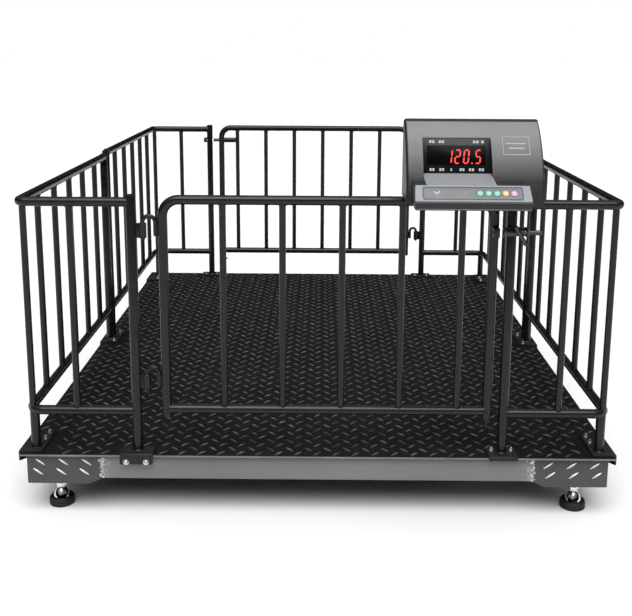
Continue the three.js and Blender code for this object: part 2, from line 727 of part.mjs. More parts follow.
function buildCase() {
  const left = CASE_CENTRE - CASE_WIDTH / 2;
  const right = CASE_CENTRE + CASE_WIDTH / 2;
  const shelfLeft = SHELF_CENTRE - SHELF_WIDTH / 2;
  const shelfRight = SHELF_CENTRE + SHELF_WIDTH / 2;
  const pocketLeft = DISPLAY_CENTRE - DISPLAY_WIDTH / 2;
  const pocketRight = DISPLAY_CENTRE + DISPLAY_WIDTH / 2;

  const body = sideProfile(bodyOutline(0, CASE_BACK), left, right);
  const shelf = sideProfile(shelfOutline(0), shelfLeft, shelfRight);
  const bodyHollow = sideProfile(
    bodyOutline(CASE_WALL, CASE_BACK + 5), left + CASE_WALL, right - CASE_WALL,
  );
  const shelfHollow = sideProfile(
    shelfOutline(CASE_WALL), shelfLeft + CASE_WALL, shelfRight - CASE_WALL,
  );

  const pocket = sideProfile(polygon(shiftToFront([
    DISPLAY_TOP, DISPLAY_FOOT, SHELF_REAR_TOP,
    [AHEAD_OF_CASE, SHELF_REAR_TOP[1]], [AHEAD_OF_CASE, DISPLAY_TOP[1]],
  ])), pocketLeft, pocketRight);
  const backing = sideProfile(polygon(shiftToFront([
    [DISPLAY_TOP[0] + 4, DISPLAY_TOP[1] + 8],
    [DISPLAY_FOOT[0] + 4, DISPLAY_FOOT[1] - 2],
    [SHELF_REAR_TOP[0] + 3, SHELF_REAR_TOP[1] - CASE_WALL],
    [AHEAD_OF_CASE, SHELF_REAR_TOP[1] - CASE_WALL],
    [AHEAD_OF_CASE, DISPLAY_TOP[1] + 8],
  ])), pocketLeft - CASE_WALL, pocketRight + CASE_WALL);

  const hollow = join([bodyHollow, shelfHollow]).subtract(backing);
  const windowHole = slab(DISPLAY_FRAME, LED_WIDTH, LED_HEIGHT, -12, 2);
  const keypadRecess = slab(KEYPAD_FRAME, KEYPAD_WIDTH + 1, KEYPAD_DEPTH + 1, -KEYPAD_RECESS, 8);
  const tools = [hollow, pocket, windowHole, keypadRecess];
  BUTTONS.forEach((name, i) => tools.push(disc(KEYPAD_FRAME, buttonX(i), BUTTON_HOLE, -9, 4)));
  place('indicator_case', cut(join([body, shelf]), tools), 'housing');
}

function buttonX(i) {
  return FIRST_BUTTON + i * BUTTON_PITCH - KEYPAD_CENTRE;
}

function buildIndicatorFittings() {
  const left = CASE_CENTRE - CASE_WIDTH / 2;
  const right = CASE_CENTRE + CASE_WIDTH / 2;
  const coverFront = FRONT + CASE_BACK + GAP;
  const coverBack = coverFront + CASE_WALL;
  const cover = block(left, right, coverFront, coverBack, CASE_BASE, CASE_TOP - HEAD_ROUNDING);
  place('indicator_back_cover', cover, 'housing');

  const fitting = gland(18, 6).rotate([-90, 0, 0]);
  place('indicator_gland', fitting, 'nylon', scale, [left + 42, coverBack + GAP, CASE_BASE + 30]);

  const plateBack = FRONT - POST_RADIUS - GAP;
  const plate = block(
    BRACKET.x0, BRACKET.x1, coverBack + GAP, plateBack, CASE_BASE + BRACKET.z0, CASE_BASE + BRACKET.z1,
  );
  const clamps = BRACKET.clamps.map((rise) => {
    const z = CASE_BASE + rise;
    return upright(FRONT_LATCH_POST, FRONT, z - 6, z + 6, POST_RADIUS + 3, 24);
  });
  const postSpace = upright(FRONT_LATCH_POST, FRONT, CASE_BASE, CASE_TOP, POST_RADIUS + 2 * GAP, 24);
  place('indicator_bracket', cut(join([plate, ...clamps]), [postSpace]), 'tube');

  place('display_window', slab(DISPLAY_FRAME, DISPLAY_WIDTH - 1, DISPLAY_HEIGHT - 1, GAP, 2.2), 'window');
  const module = slab(DISPLAY_FRAME, LED_WIDTH - 4, LED_HEIGHT - 4, -9.5, -GAP);
  const card = slab(DISPLAY_FRAME, LED_WIDTH + 6, LED_HEIGHT + 6, -11, -9.4);
  place('display_board', join([module, card]), 'board');

  const sheet = slab(KEYPAD_FRAME, KEYPAD_WIDTH, KEYPAD_DEPTH, -KEYPAD_RECESS + GAP, GAP);
  const holes = BUTTONS.map((name, i) => disc(KEYPAD_FRAME, buttonX(i), BUTTON_HOLE, -9, 4));
  place('keypad_panel', cut(sheet, holes), 'keypad');
  const caps = ['green', 'green', 'green', 'orange', 'violet'];
  BUTTONS.forEach((name, i) => {
    const cap = disc(KEYPAD_FRAME, buttonX(i), BUTTON_RADIUS, -4, 1.4);
    place(`button_${name}`, cap, caps[i]);
  });

  const boardZ = CASE_BASE + 9;
  const main = block(left + 34, left + 176, FRONT - 96, FRONT - 26, boardZ, boardZ + 1.6);
  const transformer = block(left + 44, left + 84, FRONT - 62, FRONT - 32, boardZ, boardZ + 22);
  const regulator = block(left + 104, left + 124, FRONT - 50, FRONT - 32, boardZ, boardZ + 15);
  const socket = block(left + 130, left + 168, FRONT - 90, FRONT - 76, boardZ, boardZ + 10);
  place('main_board', join([main, transformer, regulator, socket]), 'board');
  const pack = block(right - 60, right - 8, FRONT - 72, FRONT - 26, CASE_BASE + CASE_WALL + GAP, CASE_BASE + 74);
  place('battery', pack, 'battery');
}

// ---------------------------------------------------------------- build
buildDeck();
buildBeams();
buildCorners();
buildJunctionBox();
buildPanels();
buildGates();
buildFrontLatch();
buildBackLatch();
buildCase();
buildIndicatorFittings();

const extent = new THREE.Box3().setFromObject(scale);
const middle = extent.getCenter(new THREE.Vector3());
scale.position.set(-middle.x, -middle.y, -extent.min.z);

export default scale;
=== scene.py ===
"""Looks for the livestock floor scale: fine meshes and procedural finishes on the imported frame.

Every length is in metres, in the frame's own axes: +X right, +Y to the back, +Z up.
A side is -1 (left) or 1 (right); an end is -1 (front) or 1 (back).
"""

import json
import math
import random

import bmesh
import bpy
from mathutils import Matrix, Vector


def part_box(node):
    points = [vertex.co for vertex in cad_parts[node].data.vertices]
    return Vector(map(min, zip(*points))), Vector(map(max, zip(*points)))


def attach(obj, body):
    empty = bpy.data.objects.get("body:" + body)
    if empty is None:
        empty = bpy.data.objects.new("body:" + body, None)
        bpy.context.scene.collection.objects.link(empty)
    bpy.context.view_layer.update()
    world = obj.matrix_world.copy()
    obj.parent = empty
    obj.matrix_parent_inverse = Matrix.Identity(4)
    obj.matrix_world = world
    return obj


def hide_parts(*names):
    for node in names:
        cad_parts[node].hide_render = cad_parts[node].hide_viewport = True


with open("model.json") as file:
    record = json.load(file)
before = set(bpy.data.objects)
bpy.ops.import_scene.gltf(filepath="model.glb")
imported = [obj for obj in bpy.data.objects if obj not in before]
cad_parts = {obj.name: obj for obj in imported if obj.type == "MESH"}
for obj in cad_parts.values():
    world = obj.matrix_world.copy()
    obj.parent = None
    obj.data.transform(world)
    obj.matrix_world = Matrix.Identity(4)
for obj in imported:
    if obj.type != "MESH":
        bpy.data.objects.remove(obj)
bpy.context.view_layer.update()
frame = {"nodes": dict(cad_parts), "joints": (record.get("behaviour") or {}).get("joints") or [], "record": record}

# ------------------------------------------------------------------ places taken from the frame
MM = 0.001
X, Y, Z = Vector((1, 0, 0)), Vector((0, 1, 0)), Vector((0, 0, 1))
RECORD = frame["record"]
BODY_OF = {n: body for body, nodes in RECORD["behaviour"]["bodies"].items() for n in nodes}
JOINT = {joint["name"]: joint for joint in frame["joints"]}
rng = random.Random(11)


def middle(node):
    lo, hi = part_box(node)
    return (lo + hi) / 2


DECK_LO, DECK_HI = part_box("deck_plate")
TOP = DECK_HI.z
MID_Y = (DECK_LO.y + DECK_HI.y) / 2
FRONT_Y, BACK_Y = middle("front_gate").y, middle("back_gate").y
PLANE_Y = {-1: FRONT_Y, 1: BACK_Y}
EDGE_Y = {-1: DECK_LO.y, 1: DECK_HI.y}
WHICH = {-1: "front", 1: "back"}
SIDE_X = DECK_HI.x - 18 * MM

POST_R = 10 * MM
RAIL_R = 9.5 * MM
BAR_R = 6.75 * MM
TOP_RAIL = TOP + 513 * MM
BOTTOM_RAIL = TOP + 86 * MM
BACK_RISE = 8 * MM
GATE_RISE = 5 * MM
TOP_BEND = 12 * MM
BOTTOM_BEND = 28 * MM
GATE_BEND = 32 * MM
END_POST_OFFSET = 14 * MM
CORNER_BAR_INSET = 6 * MM
CORNER_LEG_INSET = 8 * MM
END_BAR = 484 * MM
SIDE_PITCH = (BACK_Y - FRONT_Y) / 12
GATE_BARS = {-1: (5, 116.4 * MM), 1: (6, 99.1 * MM)}
LEAF = 4 * MM
LEAF_GAP = 0.3 * MM
LEAF_TOP = TOP + LEAF_GAP + LEAF
END_REACH, SIDE_REACH = 37 * MM, 44 * MM
SIDE_DROP = 18 * MM
LEAF_HALF = {"front_left": 33 * MM, "front_right": 29 * MM, "back_left": 33 * MM, "back_right": 33 * MM}
LEAF_DROP = {"front_left": 18 * MM, "front_right": 5 * MM, "back_left": 18 * MM, "back_right": 18 * MM}
GATE_POST = {"front_left": -364 * MM, "front_right": 374 * MM, "back_left": -384 * MM, "back_right": 364 * MM}
CORNERS = {"front_left": (-1, -1), "front_right": (1, -1), "back_left": (-1, 1), "back_right": (1, 1)}


# ------------------------------------------------------------------ mesh building
def mm(*rows):
    """Rows of numbers in millimetres, as metres."""
    return [tuple(value * MM for value in row) for row in rows]


def around(count):
    """The angles of equal steps round a circle."""
    return [2 * math.pi * k / count for k in range(count)]


def square_to(axis):
    """Two directions at right angles to an axis and to each other."""
    u = Vector(axis).orthogonal().normalized()
    return u, Vector(axis).cross(u)


def circle(centre, u, v, radius, count):
    """Points round a circle in the plane of u and v."""
    return [Vector(centre) + radius * (math.cos(t) * u + math.sin(t) * v) for t in around(count)]


def extrude_x(a, b, d):
    """A point of an outline drawn in y and z and drawn out along x."""
    return Vector((d, a, b))


def extrude_y(a, b, d):
    """A point of an outline drawn in x and z and drawn out along y."""
    return Vector((a, d, b))


def arc_path(corners, bend, steps=10):
    """Corner points joined by straight runs, with a round bend at every inner corner."""
    points = [Vector(c) for c in corners]
    path = [points[0]]
    for before, corner, after in zip(points, points[1:], points[2:]):
        back, ahead = (before - corner).normalized(), (after - corner).normalized()
        centre = corner + bend * (back + ahead)
        for k in range(steps + 1):
            angle = k / steps * math.pi / 2
            path.append(centre - bend * (math.cos(angle) * ahead + math.sin(angle) * back))
    return path + [points[-1]]


def fillet(points, radius, steps=4):
    """A closed 2D outline with each corner rounded; radius is one number or one per corner."""
    radii = radius if isinstance(radius, (list, tuple)) else [radius] * len(points)
    outline = []
    for i, (point, r) in enumerate(zip(points, radii)):
        corner = Vector(point)
        back = Vector(points[i - 1]) - corner
        ahead = Vector(points[(i + 1) % len(points)]) - corner
        if r <= 0:
            outline.append(corner)
            continue
        half = back.angle(ahead) / 2
        reach = r / math.tan(half)
        start, end = corner + back.normalized() * reach, corner + ahead.normalized() * reach
        centre = corner + (back.normalized() + ahead.normalized()).normalized() * (r / math.sin(half))
        for k in range(steps + 1):
            spoke = (start - centre).slerp(end - centre, k / steps, start - centre)
            outline.append(centre + spoke.normalized() * r)
    return outline


def curve_points(start, control, end, steps):
    """Points of a quadratic curve, without its start."""
    a, b, c = Vector(start), Vector(control), Vector(end)
    ts = [k / steps for k in range(1, steps + 1)]
    return [(1 - t) ** 2 * a + 2 * t * (1 - t) * b + t * t * c for t in ts]


def pipe_profile(bore, outer, length, inner_edge, outer_edge):
    """The [radius, height] profile of a short pipe with chamfered rims."""
    return [(bore, inner_edge), (bore + inner_edge, 0), (outer - outer_edge, 0), (outer, outer_edge),
            (outer, length - outer_edge), (outer - outer_edge, length), (bore + inner_edge, length),
            (bore, length - inner_edge)]


def add_to_scene(name, data):
    """A new object of the given data, in the scene."""
    made = bpy.data.objects.new(name, data)
    bpy.context.scene.collection.objects.link(made)
    return made


class Piece:
    """Closed solids gathered into one mesh."""

    def __init__(self):
        self.bm = bmesh.new()

    def face(self, verts, number=0):
        made = self.bm.faces.new(verts)
        made.material_index = number
        return made

    def ring(self, points):
        return [self.bm.verts.new(point) for point in points]

    def walls(self, low, high):
        for k in range(len(low)):
            m = (k + 1) % len(low)
            self.face([low[k], low[m], high[m], high[k]])

    def round_rims(self, faces, edge, segments):
        """Rounds every edge of the listed faces."""
        if edge > 0:
            rim = list({e for f in faces for e in f.edges})
            bmesh.ops.bevel(self.bm, geom=rim, offset=edge, offset_type="OFFSET", segments=segments,
                            profile=0.5, affect="EDGES", clamp_overlap=True, material=0)
        return self

    def loft(self, rings, closed=False):
        """Rings of the same count of points joined in order, with flat ends unless closed."""
        made = [self.ring(ring) for ring in rings]
        for low, high in zip(made, made[1:] + (made[:1] if closed else [])):
            self.walls(low, high)
        if not closed:
            self.face(made[0][::-1])
            self.face(made[-1])
        return self

    def tube(self, path, radius, sides=24, closed=False):
        """A round tube along a path; radius is one number or one per point."""
        points = [Vector(p) for p in path]
        radii = radius if isinstance(radius, (list, tuple)) else [radius] * len(points)
        count = len(points)
        spoke, rings = None, []
        for i, point in enumerate(points):
            before = points[(i - 1) % count] if closed or i else point
            after = points[(i + 1) % count] if closed or i < count - 1 else point
            along = ((point - before).normalized() + (after - point).normalized()).normalized()
            if spoke is None:
                spoke = along.orthogonal()
            spoke = (spoke - along * spoke.dot(along)).normalized()
            rings.append(circle(point, spoke, along.cross(spoke), radii[i], sides))
        return self.loft(rings, closed)

    def rod(self, start, end, radius, sides=24, edge=0.6 * MM):
        """A straight rod with chamfered ends."""
        start, end = Vector(start), Vector(end)
        step = (end - start).normalized() * edge
        return self.tube([start, start + step, end - step, end],
                         [radius - edge, radius, radius, radius - edge], sides)

    def turned(self, profile, origin, axis=Z, sides=40):
        """A closed [radius, height] profile turned about an axis; a point on the axis is a tip."""
        u, v = square_to(axis)
        rings = [self.ring(circle(Vector(origin) + axis * h, u, v, r, sides if r > 0 else 1)) for r, h in profile]
        for low, high in zip(rings, rings[1:] + rings[:1]):
            for k in range(sides):
                m = (k + 1) % sides
                corners = [low[k % len(low)], low[m % len(low)], high[m % len(high)], high[k % len(high)]]
                unique = list(dict.fromkeys(corners))
                if len(unique) > 2:
                    self.face(unique)
        return self

    def prism(self, outline, place, depth, edge=0.0, segments=2):
        """A 2D outline extruded: place maps (a, b, depth) to a point. edge rounds both end outlines."""
        near, far = [self.ring(place(p[0], p[1], d) for p in outline) for d in depth]
        caps = [self.face(near[::-1]), self.face(far)]
        self.walls(near, far)
        return self.round_rims(caps, edge, segments)

    def slab(self, width, height, n0, n1, turn, x=0.0, u=0.0, corner=0.0, edge=0.0):
        """A plate on a sloping panel, with rounded corners and optionally softened rims."""
        w, h = width / 2, height / 2
        points = [(x - w, u - h), (x + w, u - h), (x + w, u + h), (x - w, u + h)]
        outline = fillet(points, corner, 5) if corner else points
        return self.prism(outline, lambda a, b, d: turn @ Vector((a, b, d)), (n0, n1), edge)

    def block(self, lo, hi, edge=0.6 * MM, segments=2):
        """A box with all its edges rounded."""
        v = self.ring((x, y, z) for x in (lo[0], hi[0]) for y in (lo[1], hi[1]) for z in (lo[2], hi[2]))
        sides = [(0, 1, 3, 2), (4, 6, 7, 5), (0, 4, 5, 1), (2, 3, 7, 6), (0, 2, 6, 4), (1, 5, 7, 3)]
        return self.round_rims([self.face([v[i] for i in side]) for side in sides], edge, segments)

    def bead(self, spots, size, closed=True):
        """A hand-laid weld bead of uneven thickness through the listed points."""
        return self.tube(spots, [size * rng.uniform(0.7, 1.25) for _ in spots], 6, closed)

    def saddle(self, centre, along, rail, bar_r, rail_r, size):
        """The weld where a bar of radius bar_r leaves a rail of radius rail_r, on the rail's surface."""
        across = along.cross(rail)
        spots = []
        for turn in around(16):
            u, v = bar_r * math.cos(turn), bar_r * math.sin(turn)
            lift = math.sqrt(max(rail_r ** 2 - v ** 2, 0))
            spots.append(Vector(centre) + rail * u + across * v + along * lift)
        return self.bead(spots, size)

    def foot_weld(self, x, y, radius):
        """The weld round an upright, on top of its bracket."""
        return self.bead(circle((x, y, LEAF_TOP), X, Y, radius + 0.4 * MM, 20), 2 * MM)

    def nut(self, base, axis, corner_r, height):
        """A hexagonal nut with chamfered corners."""
        u, v = square_to(axis)
        outline = [(corner_r * math.cos(t), corner_r * math.sin(t)) for t in around(6)]
        return self.prism(outline, lambda a, b, d: base + u * a + v * b + axis * d, (0, height), corner_r * 0.1)

    def bolt(self, base, axis, size, domed=False):
        """A washer and a nut on a stud, or a domed head, standing on base."""
        washer = [(0, 0), (2, 0), (2.05, 0.12), (1.95, 0.3), (0, 0.3)]
        self.turned([(r * size, h * size) for r, h in washer], base, axis, 24)
        seat = Vector(base) + axis * size * 0.3
        if domed:
            quarter = [math.pi / 2 * k / 6 for k in range(6)]
            dome = [(size * 1.6 * math.cos(t), size * (0.25 + 1.1 * math.sin(t))) for t in quarter]
            return self.turned([(0, 0), *dome, (0, size * 1.35)], seat, axis, 24)
        self.nut(seat, axis, size * 1.75, size * 1.5)
        return self.rod(seat, seat + axis * size * 2.6, size, 16, edge=0.3 * MM)

    def loose(self, name="solid"):
        """The gathered solids as an object in the scene."""
        bmesh.ops.recalc_face_normals(self.bm, faces=self.bm.faces)
        mesh = bpy.data.meshes.new(name)
        self.bm.to_mesh(mesh)
        self.bm.free()
        return add_to_scene(name, mesh)

    def make(self, name, materials, like, replaces=(), smooth=32, slot=None):
        """Turns the gathered solids into a piece."""
        finish_piece(self.loose(name), name, materials, like, replaces, smooth)


def finish_piece(piece, name, materials, like, replaces=(), smooth=32):
    """Names, shades and mounts a piece on the body of the node it is like."""
    piece.name = name
    mesh = piece.data
    if mesh.materials:
        mesh.materials.clear()
    for made in materials if isinstance(materials, list) else [materials]:
        mesh.materials.append(made)
    mesh.shade_smooth()
    mesh.set_sharp_from_angle(angle=math.radians(smooth))
    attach(piece, BODY_OF[like])
    if replaces:
        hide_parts(*replaces)


def combine(target, tool, operation="DIFFERENCE"):
    """Cuts target with tool, or joins them, keeping target; the tool, a Piece or an object, is used up."""
    tool = tool.loose() if isinstance(tool, Piece) else tool
    step = target.modifiers.new("step", "BOOLEAN")
    step.operation = operation
    step.solver = "MANIFOLD"
    step.object = tool
    bpy.context.view_layer.update()
    result = bpy.data.meshes.new_from_object(target.evaluated_get(bpy.context.evaluated_depsgraph_get()))
    target.modifiers.clear()
    target.data = result
    bpy.data.objects.remove(tool)


# ------------------------------------------------------------------ materials
class Finish:
    """One Principled material and short names for the nodes that feed it."""

    def __init__(self, name, roughness=0.5, metallic=0.0, specular=0.5):
        self.material = bpy.data.materials.new(name)
        self.material.use_nodes = True
        self.tree = self.material.node_tree
        self.tree.nodes.clear()
        self.shader = self.node("BsdfPrincipled")
        self.tree.links.new(self.shader.outputs[0], self.node("OutputMaterial").inputs[0])
        self.place = self.node("TexCoord").outputs["Object"]
        self.feed(self.shader, Roughness=roughness, Metallic=metallic, **{"Specular IOR Level": specular})

    def node(self, kind, **settings):
        made = self.tree.nodes.new("ShaderNode" + kind)
        for key, value in settings.items():
            setattr(made, key, value)
        return made

    def feed(self, node, *numbered, **named):
        """Links or sets a node's inputs; numbered ones are (input number, value) pairs."""
        for key, value in [*numbered, *named.items()]:
            if isinstance(value, bpy.types.NodeSocket):
                self.tree.links.new(value, node.inputs[key])
            else:
                node.inputs[key].default_value = value
        return node

    def noise(self, scale, detail=3.0, rough=0.55, at=None):
        made = self.node("TexNoise")
        self.feed(made, Vector=at or self.place, Scale=scale, Detail=detail, Roughness=rough)
        return made.outputs["Fac"]

    def span(self, value, low, high, to_low=0.0, to_high=1.0):
        made = self.node("MapRange", clamp=True)
        self.feed(made, (0, value), (1, low), (2, high), (3, to_low), (4, to_high))
        return made.outputs[0]

    def patches(self, scale, detail, low, high, to_low=0.0, to_high=1.0, rough=0.55):
        """Noise spread from low..high to to_low..to_high."""
        return self.span(self.noise(scale, detail, rough), low, high, to_low, to_high)

    def math(self, operation, a, b):
        return self.feed(self.node("Math", operation=operation), (0, a), (1, b)).outputs[0]

    def times(self, a, b):
        return self.math("MULTIPLY", a, b)

    def mix(self, share, a, b):
        return self.feed(self.node("Mix", data_type="RGBA"), (0, share), (6, a), (7, b)).outputs[2]

    def axis(self, which):
        return self.feed(self.node("SeparateXYZ"), Vector=self.place).outputs[which]

    def edges(self):
        """Near 1 beside a sharp edge, 0 on open faces."""
        soft = self.feed(self.node("Bevel", samples=4), Radius=1.3 * MM).outputs[0]
        true = self.node("NewGeometry").outputs["Normal"]
        match = self.feed(self.node("VectorMath", operation="DOT_PRODUCT"), (0, soft), (1, true))
        return self.span(match.outputs["Value"], 0.985, 0.90)

    def bump(self, height, strength, distance, **normal):
        return self.feed(self.node("Bump"), Height=height, Strength=strength, Distance=distance, **normal).outputs[0]

    def set(self, colour, **more):
        self.feed(self.shader, **{"Base Color": colour}, **more)
        return self.material


def rgb(value, blue=1.0, green=1.0):
    """A linear grey of one brightness with a slight tint."""
    return (value, value * green, value * blue, 1.0)


def painted(name, dark, light, roughness, peel=0.2, grain=700.0, worn=None, specular=0.5, metallic=0.0,
            streak=0.0, speck=None):
    """Paint or powder coat: drifting colour, orange peel, faint scratches and worn edges."""
    finish = Finish(name, roughness, metallic, specular)
    colour = finish.mix(finish.patches(9.0, 4.0, 0.3, 0.7), dark, light)
    grain_way = finish.feed(finish.node("Mapping"), Vector=finish.place, Scale=(1.0, 1.0, 0.12)).outputs[0]
    scratch = finish.span(finish.noise(60.0, 6.0, 0.7, grain_way), 0.60, 0.78)
    if speck:
        colour = finish.mix(finish.times(scratch, streak), colour, speck)
    if worn:
        patchy = finish.patches(140.0, 5.0, 0.42, 0.62, 0.0, 0.6, 0.65)
        colour = finish.mix(finish.times(finish.edges(), patchy), colour, worn)
    rough = finish.patches(35.0, 4.0, 0.3, 0.7, roughness - 0.07, roughness + 0.09)
    height = finish.math("ADD", finish.noise(grain, 2.0), finish.times(scratch, -0.6))
    return finish.set(colour, Roughness=rough, Normal=finish.bump(height, peel, 0.35 * MM))


def steel(name, colour, roughness, metallic=1.0, grain=900.0, dirt=0.25, tarnish=(0.08, 0.07, 0.06, 1.0)):
    """Bare or plated metal with drifting polish and patches of grime."""
    finish = Finish(name, roughness, metallic)
    tint = finish.mix(finish.times(finish.patches(45.0, 5.0, 0.35, 0.75), dirt), colour, tarnish)
    rough = finish.patches(120.0, 4.0, 0.3, 0.7, max(roughness - 0.05, 0.02), roughness + 0.1)
    return finish.set(tint, Roughness=rough, Normal=finish.bump(finish.noise(grain), 0.12, 0.15 * MM))


def bracket_paint():
    """Thick black paint over rough plate, chipped to light specks."""
    finish = Finish("bracket_black", 0.5, 0.0, 0.35)
    chips = finish.patches(420.0, 5.0, 0.60, 0.70, rough=0.7)
    colour = finish.mix(finish.times(chips, 0.6), rgb(0.008), rgb(0.13))
    colour = finish.mix(finish.times(finish.edges(), 0.35), colour, rgb(0.12))
    return finish.set(colour, Roughness=finish.patches(90.0, 3.0, 0.3, 0.7, 0.38, 0.6),
                      Normal=finish.bump(finish.noise(380.0, 4.0), 0.5, 0.5 * MM))


def deck_paint():
    """Near-black plate paint, dusty in places."""
    finish = Finish("tread_plate_black", 0.55, 0.0, 0.12)
    colour = finish.mix(finish.patches(6.0, 6.0, 0.35, 0.7, rough=0.6), rgb(0.0045), rgb(0.008, 1.06))
    colour = finish.mix(finish.patches(38.0, 8.0, 0.60, 0.85, 0.0, 0.2, 0.7), colour, rgb(0.03))
    return finish.set(colour, Roughness=finish.patches(25.0, 4.0, 0.3, 0.7, 0.48, 0.62),
                      Normal=finish.bump(finish.noise(900.0), 0.25, 0.3 * MM))


def tread_paint():
    """The raised bars, lighter on their crowns: rubbed wear together with a painted highlight standing in for the
    bars' glints.
    """
    finish = Finish("tread_bar_worn_and_highlight", 0.35, 0.0, 0.45)
    # painted highlight: the crowns' lighter colour is partly real rubbing and partly a painted highlight for the
    # glints on the bars
    crown = finish.span(finish.axis(2), TOP + 0.9 * MM, TOP + 1.9 * MM)
    crown_wear_and_highlight = finish.times(crown, finish.patches(45.0, 4.0, 0.40, 0.66))
    return finish.set(finish.mix(crown_wear_and_highlight, rgb(0.018), rgb(0.22)), Roughness=finish.span(crown_wear_and_highlight, 0.0, 1.0, 0.42, 0.28),
                      Normal=finish.bump(finish.noise(700.0), 0.15, 0.2 * MM))


def beam_paint():
    """Satin grey, ground bright and rough for a short way beside the corner boxes' welds."""
    bare_from, bare_full, weld_full, weld_end = 412 * MM, 434 * MM, 460 * MM, 470 * MM
    finish = Finish("frame_grey_paint", 0.45, 0.1, 0.4)
    colour = finish.mix(finish.patches(3.0, 3.0, 0.3, 0.7), rgb(0.17), rgb(0.20, 1.02))
    reach = finish.math("ABSOLUTE", finish.axis(0), 0.0)
    near_weld = finish.times(finish.span(reach, bare_from, bare_full), finish.span(reach, weld_end, weld_full))
    spatter = finish.times(near_weld, finish.patches(210.0, 6.0, 0.52, 0.62, rough=0.7))
    colour = finish.mix(spatter, colour, rgb(0.5))
    worn = finish.times(finish.edges(), finish.patches(120.0, 4.0, 0.4, 0.6, 0.0, 0.7))
    colour = finish.mix(worn, colour, rgb(0.35))
    height = finish.math("ADD", finish.noise(500.0), finish.times(spatter, 2.0))
    return finish.set(colour, Roughness=finish.patches(40.0, 4.0, 0.3, 0.7, 0.40, 0.50),
                      Normal=finish.bump(height, 0.15, 0.25 * MM))


def housing_plastic():
    """Grey moulded plastic: darker low on the front as painted shade, near-black at the head's rim and both side rims.
    """
    lo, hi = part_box("indicator_case")
    finish = Finish("housing_grey_plastic", 0.5, 0.0, 0.4)
    colour = finish.mix(finish.patches(14.0, 4.0, 0.3, 0.7), rgb(0.215), rgb(0.235, 1.03))
    height, across = finish.axis(2), finish.axis(0)
    # painted shade: the colour darkens to near-black towards the case's foot, standing in for the shade low on the
    # curved front
    colour = finish.mix(finish.span(height, TOP + 572 * MM, TOP + 658 * MM), rgb(0.016), colour)
    rim = finish.span(height, TOP + 673.5 * MM, TOP + 675 * MM)
    for outer, inner in ((lo.x + 3 * MM, lo.x + 5.5 * MM), (hi.x - 2 * MM, hi.x - 3.5 * MM)):
        rim = finish.math("MAXIMUM", rim, finish.span(across, inner, outer))
    colour = finish.mix(rim, colour, rgb(0.006))
    soft = finish.feed(finish.node("Bevel", samples=4), Radius=0.7 * MM).outputs[0]
    normal = finish.bump(finish.noise(1800.0, 2.0), 0.14, 0.12 * MM, Normal=soft)
    return finish.set(colour, Roughness=finish.patches(60.0, 3.0, 0.3, 0.7, 0.42, 0.54), Normal=normal)


def moulded(name, colour, roughness, grain=1500.0, bump=0.12, drift=0.12, specular=0.4):
    """Plastic, rubber or film of one colour with a faint drift and a fine grain."""
    finish = Finish(name, roughness, 0.0, specular)
    darker = tuple(c * (1 - drift) for c in colour[:3]) + (1.0,)
    tint = finish.mix(finish.patches(30.0, 4.0, 0.3, 0.7), darker, colour)
    rough = finish.patches(80.0, 3.0, 0.3, 0.7, roughness - 0.05, roughness + 0.06)
    return finish.set(tint, Roughness=rough, Normal=finish.bump(finish.noise(grain, 2.0), bump, 0.15 * MM))


def lit_red():
    """LED segments: a red glow that varies slightly along each bar."""
    finish = Finish("led_red", 0.4)
    glow = finish.mix(finish.patches(500.0, 3.0, 0.3, 0.7), (0.75, 0.01, 0.012, 1), (1.0, 0.045, 0.03, 1))
    finish.feed(finish.shader, **{"Emission Color": glow, "Emission Strength": 1.15})
    return finish.set(finish.mix(0.5, (0.5, 0.01, 0.01, 1), (0.6, 0.02, 0.02, 1)))


TUBE = painted("black_powder_coat", rgb(0.0045), rgb(0.007, 1.05), 0.26, 0.12, 650.0, specular=0.36,
               streak=0.10, speck=rgb(0.03))
DECK = deck_paint()
TREAD = tread_paint()
BRACKET = bracket_paint()
BEAM = beam_paint()
BOX = painted("corner_box_paint", rgb(0.055), rgb(0.066, 1.02, 0.99), 0.42, 0.12, worn=rgb(0.3), specular=0.4)
EDGE = painted("plate_edge_worn", rgb(0.13), rgb(0.22), 0.4, 0.3, metallic=0.3, streak=0.5, speck=rgb(0.5))
LATCH = steel("oiled_latch_steel", rgb(0.09), 0.3, 0.8, dirt=0.5, tarnish=rgb(0.03))
BRIGHT_BAR = steel("rubbed_bar_steel", rgb(0.86), 0.32, 0.55, dirt=0.12, tarnish=rgb(0.45))
WELD = steel("weld_metal", rgb(0.62), 0.36, 0.7, grain=400.0, dirt=0.5, tarnish=rgb(0.12))
CHROME = steel("foot_chrome_plate", (0.80, 0.81, 0.83, 1.0), 0.07, dirt=0.08)
ZINC = steel("zinc_bolt", (0.68, 0.69, 0.70, 1.0), 0.26, dirt=0.35)
CELL = steel("load_cell_nickel", (0.55, 0.56, 0.58, 1.0), 0.3, dirt=0.2)
ALLOY = steel("die_cast_alloy", (0.42, 0.43, 0.45, 1.0), 0.45, 0.9, dirt=0.3)
RUBBER = moulded("foot_rubber", rgb(0.012), 0.62, 700.0, 0.3)
NYLON = moulded("black_nylon", rgb(0.013), 0.45)
HOUSING = housing_plastic()
TRIM = moulded("case_trim_dark", rgb(0.014), 0.4)
SHELF_GREY = moulded("shelf_light_grey", (0.30, 0.315, 0.345, 1.0), 0.42, 1800.0, 0.08, 0.06)
WINDOW = moulded("smoked_window", (0.010, 0.011, 0.013, 1.0), 0.2, 2500.0, 0.02, 0.2, 0.22)
LED_FIELD = moulded("led_field_black", rgb(0.002), 0.3, 2500.0, 0.02, 0.2, 0.08)
BAND = moulded("shelf_band_dark", rgb(0.022), 0.4)
LED_RED = lit_red()
PRINT_WHITE = moulded("print_white", rgb(0.78), 0.5, 2500.0, 0.02, 0.05)
